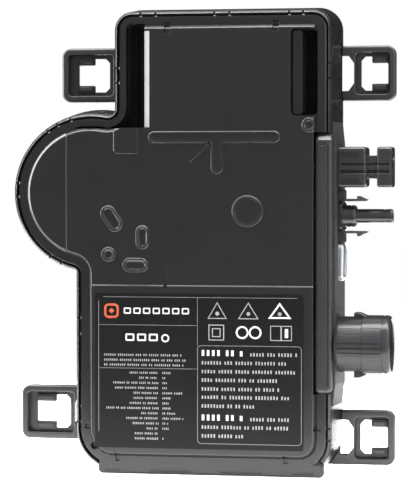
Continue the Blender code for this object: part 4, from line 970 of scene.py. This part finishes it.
# Latch arms: two springy barbed fingers beside the plug, moulded thin so that they flex towards it,
# and the lugs on the foot that carry them.
arm_grey = moulded_black("arm_grey", (0.060, 0.061, 0.064), 0.32, 0.4, 0.004)
for side, word in ((1, "upper"), (-1, "lower")):
    arm_low, arm_high = box_mm(f"latch_arm_{word}")
    lug_low, lug_high = box_mm(f"latch_lug_{word}")
    root = arm_low.x + 0.65
    spine = arm_low.z + 0.65 if side > 0 else arm_high.z - 0.65
    tip = arm_high.x
    barb = tip - 5.0
    outline = arc(0.0, 0.0, 0.6, 90, 270, 8)
    outline += [(barb - root, -0.5), (tip - root - 1.2, -0.42), (tip - root - 0.2, -0.15), (tip - root, 0.05)]
    hook = ((2.6, 1.1), (1.4, 1.75), (0.3, 1.85), (0.0, 1.7), (0.05, 0.75), (-0.6, 0.55))
    outline += [(barb - root + x, z) for x, z in hook]
    outline = [(root + x, z) for x, z in outline]
    arm = Moulding()
    edges = ((arm_low.y, -0.12), (arm_low.y + 0.15, 0.0), (arm_high.y - 0.15, 0.0), (arm_high.y, -0.12))
    arm.loft([[(x, y, spine + side * z) for x, z in moved(outline, grow)] for y, grow in edges])
    arm.piece(f"latch_finger_{word}", arm_grey, "connector_black", [f"latch_arm_{word}"], f"{word}_arm")
    lug = Moulding()
    block = rounded_box(FOOT - 0.4, lug_low.z, lug_high.x, lug_high.z, 0.5)
    edges = ((lug_low.y, -0.3), (lug_low.y + 0.35, 0.0), (lug_high.y - 0.35, 0.0), (lug_high.y, -0.3))
    lug.slab(block, edges)
    lug.piece(f"latch_root_{word}", connector_black, "connector_black", [f"latch_lug_{word}"])

# AC connector: a round shell with a fluted front, a key rib and a pair of locking wedges. Its wall
# is thinner behind the wedges and its mouth has a bevelled rim.
ac_low, ac_high = box_mm("ac_connector_shell")
AC_Z = (ac_low.z + ac_high.z) / 2
AC_END = ac_high.x
AC_RADIUS = 13.4
AC_WALL = 2.1
KEY_LOW, KEY_HIGH = -2.7, 1.2
KEY_EDGE = 0.3
FLUTE_HALF = 8.6
FLUTE = 0.7
FLUTE_STEP = FLUTE / 4


def front_relief(z):
    """How far the shell's front stands out at a height from its axis."""
    if KEY_LOW <= z <= KEY_HIGH:
        return 0.15 if abs(z - (KEY_LOW + KEY_HIGH) / 2) < 0.12 else 0.55
    if KEY_LOW - KEY_EDGE <= z <= KEY_HIGH + KEY_EDGE:
        return -0.45
    return 0.045 * cos(2 * pi * z / FLUTE)


front_heights = [FLUTE_HALF - FLUTE_STEP * step for step in range(int(2 * FLUTE_HALF / FLUTE_STEP) + 1)]
front_heights += [KEY_LOW - KEY_EDGE, KEY_LOW - 0.02, KEY_LOW, KEY_HIGH, KEY_HIGH + 0.02, KEY_HIGH + KEY_EDGE]
front_angles = [pi - asin(z / AC_RADIUS) for z in sorted(set(front_heights), reverse=True)]
first, last = front_angles[0], front_angles[-1]
BACK_STEPS = 70
back_angles = [last + (2 * pi - last + first) * step / BACK_STEPS for step in range(1, BACK_STEPS)]
shell_angles = front_angles + back_angles


def shell_ring(place, radius, relief):
    """One section of the AC shell at the X that place gives for a depth."""
    ring = []
    for angle in shell_angles:
        out = front_relief(AC_RADIUS * sin(angle)) if angle in front_angles else 0.0
        reach = radius + relief * out
        y, z = AXIS_Y + reach * cos(angle), AC_Z + reach * sin(angle)
        ring.append((place(y), y, z))
    return ring


SHELL_FOOT = [(0.0, 0.9, 0.0), (0.2, 0.65, 0.0), (0.8, 0.65, 0.0), (0.85, 0.65, 1.0)]
SHELL_TURNINGS = [
    (12.9, 0.6, 1.0), (12.6, 0.0, 1.0), (4.6, 0.0, 1.0), (4.5, 0.0, 0.0), (3.8, 0.0, 0.0), (3.7, 0.3, 0.0),
    (3.2, 0.3, 0.0), (3.1, 0.0, 0.0), (1.9, 0.0, 0.0), (1.2, 0.12, 0.0), (0.5, 0.5, 0.0), (0.0, 1.2, 0.0),
    (0.1, AC_WALL - 0.5, 0.0), (0.5, AC_WALL, 0.0), (19.0, AC_WALL, 0.0),
]
rings = []
for out, drop, relief in SHELL_FOOT:
    rings.append(shell_ring(lambda y: foot_x(y) + GASKET + out, AC_RADIUS - drop, relief))
for back, drop, relief in SHELL_TURNINGS:
    rings.append(shell_ring(lambda y: AC_END - back, AC_RADIUS - drop, relief))
shell = Moulding()
shell.loft(rings)
WEDGE_X = AC_END - 16.8
for side in (1, -1):
    top = AC_RADIUS + 1.15
    block = [(WEDGE_X, AC_RADIUS - 2.0), (WEDGE_X + 6.2, AC_RADIUS - 1.0), (WEDGE_X + 5.4, AC_RADIUS - 0.1),
             (WEDGE_X + 3.6, AC_RADIUS + 0.75), (WEDGE_X + 2.4, top), (WEDGE_X + 0.3, top + 0.1),
             (WEDGE_X, top - 0.15)]
    shell.loft([[(x, AXIS_Y + y, AC_Z + side * z) for x, z in moved(block, grow)]
                for y, grow in ((-3.6, -0.3), (-3.3, 0.0), (3.3, 0.0), (3.6, -0.3))])
ac_black = moulded_black("ac_black", (0.022, 0.0225, 0.024), 0.24, Specular_IOR_Level=0.3)
shell.piece("ac_shell", ac_black, "connector_black", ["ac_connector_shell"], sharp=28)

# Gaskets: soft black rubber rings squeezed between the bulkhead and each connector's foot. They are
# swept round each foot's outline and stand slightly proud of it.
rubber = Finish("seal_rubber", 0.7)
rubber.paint(Base_Color=rubber.colours(rubber.noise(2.0, 3.0), (0.006, 0.006, 0.006), (0.014, 0.014, 0.015)))
rubber.paint(Roughness=rubber.noise(0.8, 2.0) * 0.2 + 0.6)
rubber.bump(rubber.noise(0.35, 2.0), 0.01)
gasket_shapes = (
    ("dc_socket_seal", rounded_box(AXIS_Y - 7.2, SOCKET_Z - 8.5, AXIS_Y + 7.2, SOCKET_Z + 8.5, 2.0)),
    ("dc_plug_seal", rounded_box(AXIS_Y - 4.2, PLUG_Z - 5.8, AXIS_Y + 4.2, PLUG_Z + 5.8, 1.6)),
    ("ac_shell_seal", arc(AXIS_Y, AC_Z, AC_RADIUS - 1.3, 0, 354, 59)),
)
GASKET_SECTION = [(-0.05, 0.0), (0.25, 0.2), (0.65, 0.2), (0.95, 0.0), (0.95, -2.0), (-0.05, -2.0)]
for node, outline in gasket_shapes:
    rings = [[(foot_x(y) + out, y, z) for y, z in moved(outline, grow)] for out, grow in GASKET_SECTION]
    gasket = Moulding()
    gasket.loft(rings, closed=True)
    gasket.piece(node.replace("seal", "gasket"), rubber.material, "seal_rubber", [node])

# Light guide: a clear moulded window for the status light, fluted inside so that it glows evenly.
lens_low, lens_high = box_mm("status_lens")
LENS_HALF = (lens_high.z - lens_low.z) / 2
LENS_Z = (lens_high.z + lens_low.z) / 2
LENS_DEPTH = 4.4
clear = Finish("clear_lens", 0.08, Transmission_Weight=0.15, IOR=1.5, Coat_Weight=0.6)
clear_streak = clear.noise(2.2, 3.0, (1.0, 1.0, 0.06))
STREAKS = [(0.36, (0.04, 0.042, 0.045, 1)), (0.52, (0.20, 0.21, 0.22, 1)), (0.7, (0.60, 0.62, 0.64, 1))]
clear.paint(Base_Color=clear.node("ValToRGB", {"stops": STREAKS}, {"Fac": clear_streak}))
clear.bump(clear.noise(0.9, 2.0, (1.0, 1.0, 0.08)), 0.05)
lens = Moulding()
dome = rounded_box(-LENS_DEPTH, -LENS_HALF, LENS_DEPTH, LENS_HALF, 3.2, 8)
rings = []
for out, scale in ((-0.3, 1.0), (0.9, 1.0), (1.6, 0.93), (2.1, 0.8), (2.35, 0.55), (2.42, 0.25)):
    pull = LENS_HALF * (1 - scale) * 0.5
    rings.append([(foot_x(AXIS_Y + y) + out, AXIS_Y + y * scale, LENS_Z + z - (pull if z > 0 else -pull))
                  for y, z in dome])
lens.loft(rings)
lens.piece("light_guide", clear.material, "clear_lens", ["status_lens"])

# Inside the case: the board stack and its parts keep their plain solids, and each kind of part gets
# a finish of its own. The seal under the lid is the same rubber as the gaskets.


def dress(finish, *nodes):
    """Gives CAD nodes that are kept a finish."""
    for node in nodes:
        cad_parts[node].material_slots[0].material = finish.material


def speckle(nodes, name, low, high, roughness, metallic, size_mm, grain_mm, depth_mm, stretch=(1.0,) * 3):
    """Dresses nodes in a finish whose colour and gloss wander between two tones over a fine grain."""
    finish = Finish(name, roughness, metallic)
    finish.paint(Base_Color=finish.colours(finish.noise(size_mm, 3.0, stretch), low, high))
    finish.paint(Roughness=finish.noise(grain_mm * 3.0, 3.0, stretch) * 0.2 + (roughness - 0.1))
    finish.bump(finish.noise(grain_mm, 2.0, stretch), depth_mm)
    dress(finish, *nodes)


def numbered(stem, count):
    """The names stem_1, stem_2 and so on."""
    return [f"{stem}_{number}" for number in range(1, count + 1)]


dress(rubber, "lid_seal")

# Circuit board: green solder mask over copper tracks, which show as slightly raised paler lines.
board = Finish("board_green", 0.4)
cells = board.node("TexVoronoi", {"feature": "DISTANCE_TO_EDGE"}, {"Vector": board.place, "Scale": 160.0})
tracks = board.node("MapRange", {"clamp": True}, {"Value": cells, 1: 0.05, 2: 0.09, 3: 1.0, 4: 0.0})
board.paint(Base_Color=board.colours(tracks, (0.012, 0.075, 0.030), (0.030, 0.15, 0.060)))
board.paint(Roughness=board.noise(3.0, 3.0) * 0.2 + 0.3)
board.bump(tracks, 0.05)
dress(board, "circuit_board")

# Heat path: a rolled aluminium spreader and a soft filled silicone pad.
speckle(["heat_spreader"], "spreader_aluminium", (0.56, 0.57, 0.59), (0.74, 0.75, 0.77), 0.36, 1.0, 3.0,
        0.3, 0.006, (0.05, 1.0, 1.0))
speckle(["thermal_pad"], "pad_silicone", (0.30, 0.32, 0.36), (0.42, 0.45, 0.49), 0.8, 0.0, 2.0, 0.5, 0.03)

# Wound parts: pressed ferrite and enamelled copper wire, whose turns show as fine ridges.
speckle(["transformer_core", "signal_transformer"], "ferrite", (0.022, 0.022, 0.024), (0.045, 0.045, 0.048),
        0.62, 0.0, 1.0, 0.3, 0.02)
wire = Finish("copper_wire", 0.3, 1.0)
along_y = {"wave_type": "BANDS", "bands_direction": "Y"}
turns = wire.node("TexWave", along_y, {"Vector": wire.place, "Scale": 320.0})
wire.paint(Base_Color=wire.colours(turns, (0.34, 0.11, 0.045), (0.80, 0.36, 0.18)))
wire.paint(Roughness=wire.noise(1.0, 2.0) * 0.2 + 0.2)
wire.bump(turns, 0.15)
dress(wire, "transformer_winding", "output_choke", "line_filter_choke")
speckle(["dc_positive_bar", "dc_negative_bar", *numbered("ac_lead", 2)], "copper_bar", (0.62, 0.28, 0.14),
        (0.82, 0.42, 0.24), 0.32, 1.0, 2.0, 0.3, 0.004)

# Board parts: sleeved capacitors, a film capacitor, a coated varistor, moulded chips and terminals.
speckle(["surge_varistor", *numbered("input_capacitor", 4)], "can_sleeve", (0.016, 0.030, 0.075),
        (0.028, 0.050, 0.12), 0.35, 0.0, 2.5, 0.5, 0.006)
speckle(["film_capacitor"], "film_case", (0.30, 0.31, 0.33), (0.40, 0.41, 0.43), 0.5, 0.0, 2.0, 0.4, 0.01)
speckle(["control_chip", "gate_driver", *numbered("power_transistor", 4)], "chip_epoxy",
        (0.010, 0.010, 0.011), (0.020, 0.020, 0.021), 0.5, 0.0, 0.8, 0.2, 0.01)
speckle(["ac_terminal_block"], "terminal_green", (0.04, 0.20, 0.09), (0.07, 0.30, 0.14), 0.42, 0.0, 2.0,
        0.4, 0.006)

# Contacts: tin-plated brass pins and sleeves in their insulating insert, and the status light's emitter.
speckle(["dc_socket_contact", "dc_plug_contact", *numbered("ac_pin", 4)], "tin_plate", (0.55, 0.54, 0.51),
        (0.74, 0.73, 0.69), 0.28, 1.0, 1.2, 0.25, 0.003)
speckle(["ac_insert"], "insert_black", (0.010, 0.010, 0.011), (0.018, 0.018, 0.019), 0.4, 0.0, 1.5, 0.4,
        0.006)
speckle(["status_led"], "led_white", (0.66, 0.66, 0.62), (0.82, 0.82, 0.78), 0.3, 0.0, 0.6, 0.3, 0.004)

# Floor, lights and camera: a plain pale floor in a studio with a band of light above and beside the
# object and a soft front light, seen nearly level and a little from the connector side.
FLOOR_HALF = 0.45
STRIP_GLOW = 18.0
FRONT_GLOW = 0.55
FILL_GLOW = 0.04


def lamp(name, place, aim, width, height, watts):
    """A rectangular soft lamp that looks at a point, all in metres."""
    light = bpy.data.lights.new(name, "AREA")
    light.shape = "RECTANGLE"
    light.size, light.size_y = width, height
    light.energy = watts
    made = bpy.data.objects.new(name, light)
    bpy.context.scene.collection.objects.link(made)
    made.location = place
    made.rotation_euler = (Vector(aim) - Vector(place)).to_track_quat("-Z", "Y").to_euler()


floor_paint = Finish("floor_paint", 0.9, Specular_IOR_Level=0.1, Emission_Color=(1.0, 1.0, 1.0, 1.0),
                     Emission_Strength=0.85)
floor_tone = floor_paint.noise(400.0)
floor_paint.paint(Base_Color=floor_paint.colours(floor_tone, (0.93, 0.93, 0.93), (0.96, 0.96, 0.96)))
floor_mesh = bpy.data.meshes.new("floor")
floor_mesh.from_pydata([(x, y, 0.0) for x, y in rectangle(-FLOOR_HALF, -0.13, FLOOR_HALF, FLOOR_HALF)], [],
                       [(0, 1, 2, 3)])
floor_mesh.materials.append(floor_paint.material)
floor = bpy.data.objects.new("floor", floor_mesh)
bpy.context.scene.collection.objects.link(floor)

world = bpy.data.worlds.new("studio")
bpy.context.scene.world = world
world.use_nodes = True
sky = Nodes(world.node_tree, "Generated")
direction = world.node_tree.nodes.new("ShaderNodeSeparateXYZ")
sky.join(direction.inputs[0], sky.place)
east, back, up = (Wire(sky, socket) for socket in direction.outputs)


def ramp(value, stops):
    """A grey level for a direction's component, from (component, level) stops."""
    grey = [((place + 1) / 2, (level, level, level, 1.0)) for place, level in stops]
    return sky.node("ValToRGB", {"stops": grey}, {"Fac": value * 0.5 + 0.5})


strip_light = ramp(back, [(-1, 0), (-0.34, 0), (-0.28, 1), (0.1, 1), (0.18, 0), (1, 0)])
above_floor = ramp(up, [(-1, 0), (-0.85, 0.05), (-0.6, 1), (1, 1)])
front_light = ramp(back, [(-1, 1), (-0.45, 1), (-0.3, 0), (1, 0)]) * above_floor
SIDE_STOPS = [(-1, 0.05), (-0.35, 0.07), (-0.1, 0.2), (0.25, 0.6), (0.6, 1), (1, 1)]
side_weight = ramp(up * 0.75 - east * 0.65, SIDE_STOPS)
ACROSS_STOPS = [(-1, 0.2), (-0.25, 0.3), (-0.1, 0.42), (0.0, 0.6), (0.2, 0.8), (1, 1)]
across = ramp((east + up) * 0.5, ACROSS_STOPS) * 2.0
lit = strip_light * side_weight * STRIP_GLOW + front_light * across * FRONT_GLOW + FILL_GLOW
seen = sky.node("LightPath", {}, {}, "Is Camera Ray")
shown = sky.node("Mix", {"data_type": "RGBA"}, {0: seen, 6: lit, 7: (1.0, 1.0, 1.0, 1.0)}, 2)
sky.join(world.node_tree.nodes["Background"].inputs["Color"], shown)
bpy.context.scene.view_settings.view_transform = "Standard"

sun = bpy.data.lights.new("top_sun", "SUN")
sun.energy = 0.8
sun.angle = radians(40.0)
sun_object = bpy.data.objects.new("top_sun", sun)
bpy.context.scene.collection.objects.link(sun_object)
sun_object.rotation_euler = (radians(-12.0), radians(-14.0), 0.0)
middle = Vector((0.0, 0.0, 0.105))
lamp("left_lamp", (-0.7, 0.05, 0.45), middle, 0.12, 0.6, 1.5)
lamp("right_lamp", (0.55, -0.5, 0.3), Vector((0.07, 0.0, 0.09)), 0.3, 0.3, 1.0)

AZIMUTH, ELEVATION = radians(10.0), radians(1.7)
TARGET = Vector((0.0032, RIM_Y * MM, 0.1045))
CAMERA_DISTANCE = 1.0
FOCAL_MM = 163.4
camera = bpy.data.objects.new("camera", bpy.data.cameras.new("camera"))
bpy.context.scene.collection.objects.link(camera)
aim = Vector((sin(AZIMUTH) * cos(ELEVATION), -cos(AZIMUTH) * cos(ELEVATION), sin(ELEVATION)))
camera.location = TARGET + aim * CAMERA_DISTANCE
camera.rotation_euler = (-aim).to_track_quat("-Z", "Y").to_euler()
camera.data.sensor_width = 36.0
camera.data.lens = FOCAL_MM
camera.data.clip_start, camera.data.clip_end = 0.01, 50.0
bpy.context.scene.camera = camera
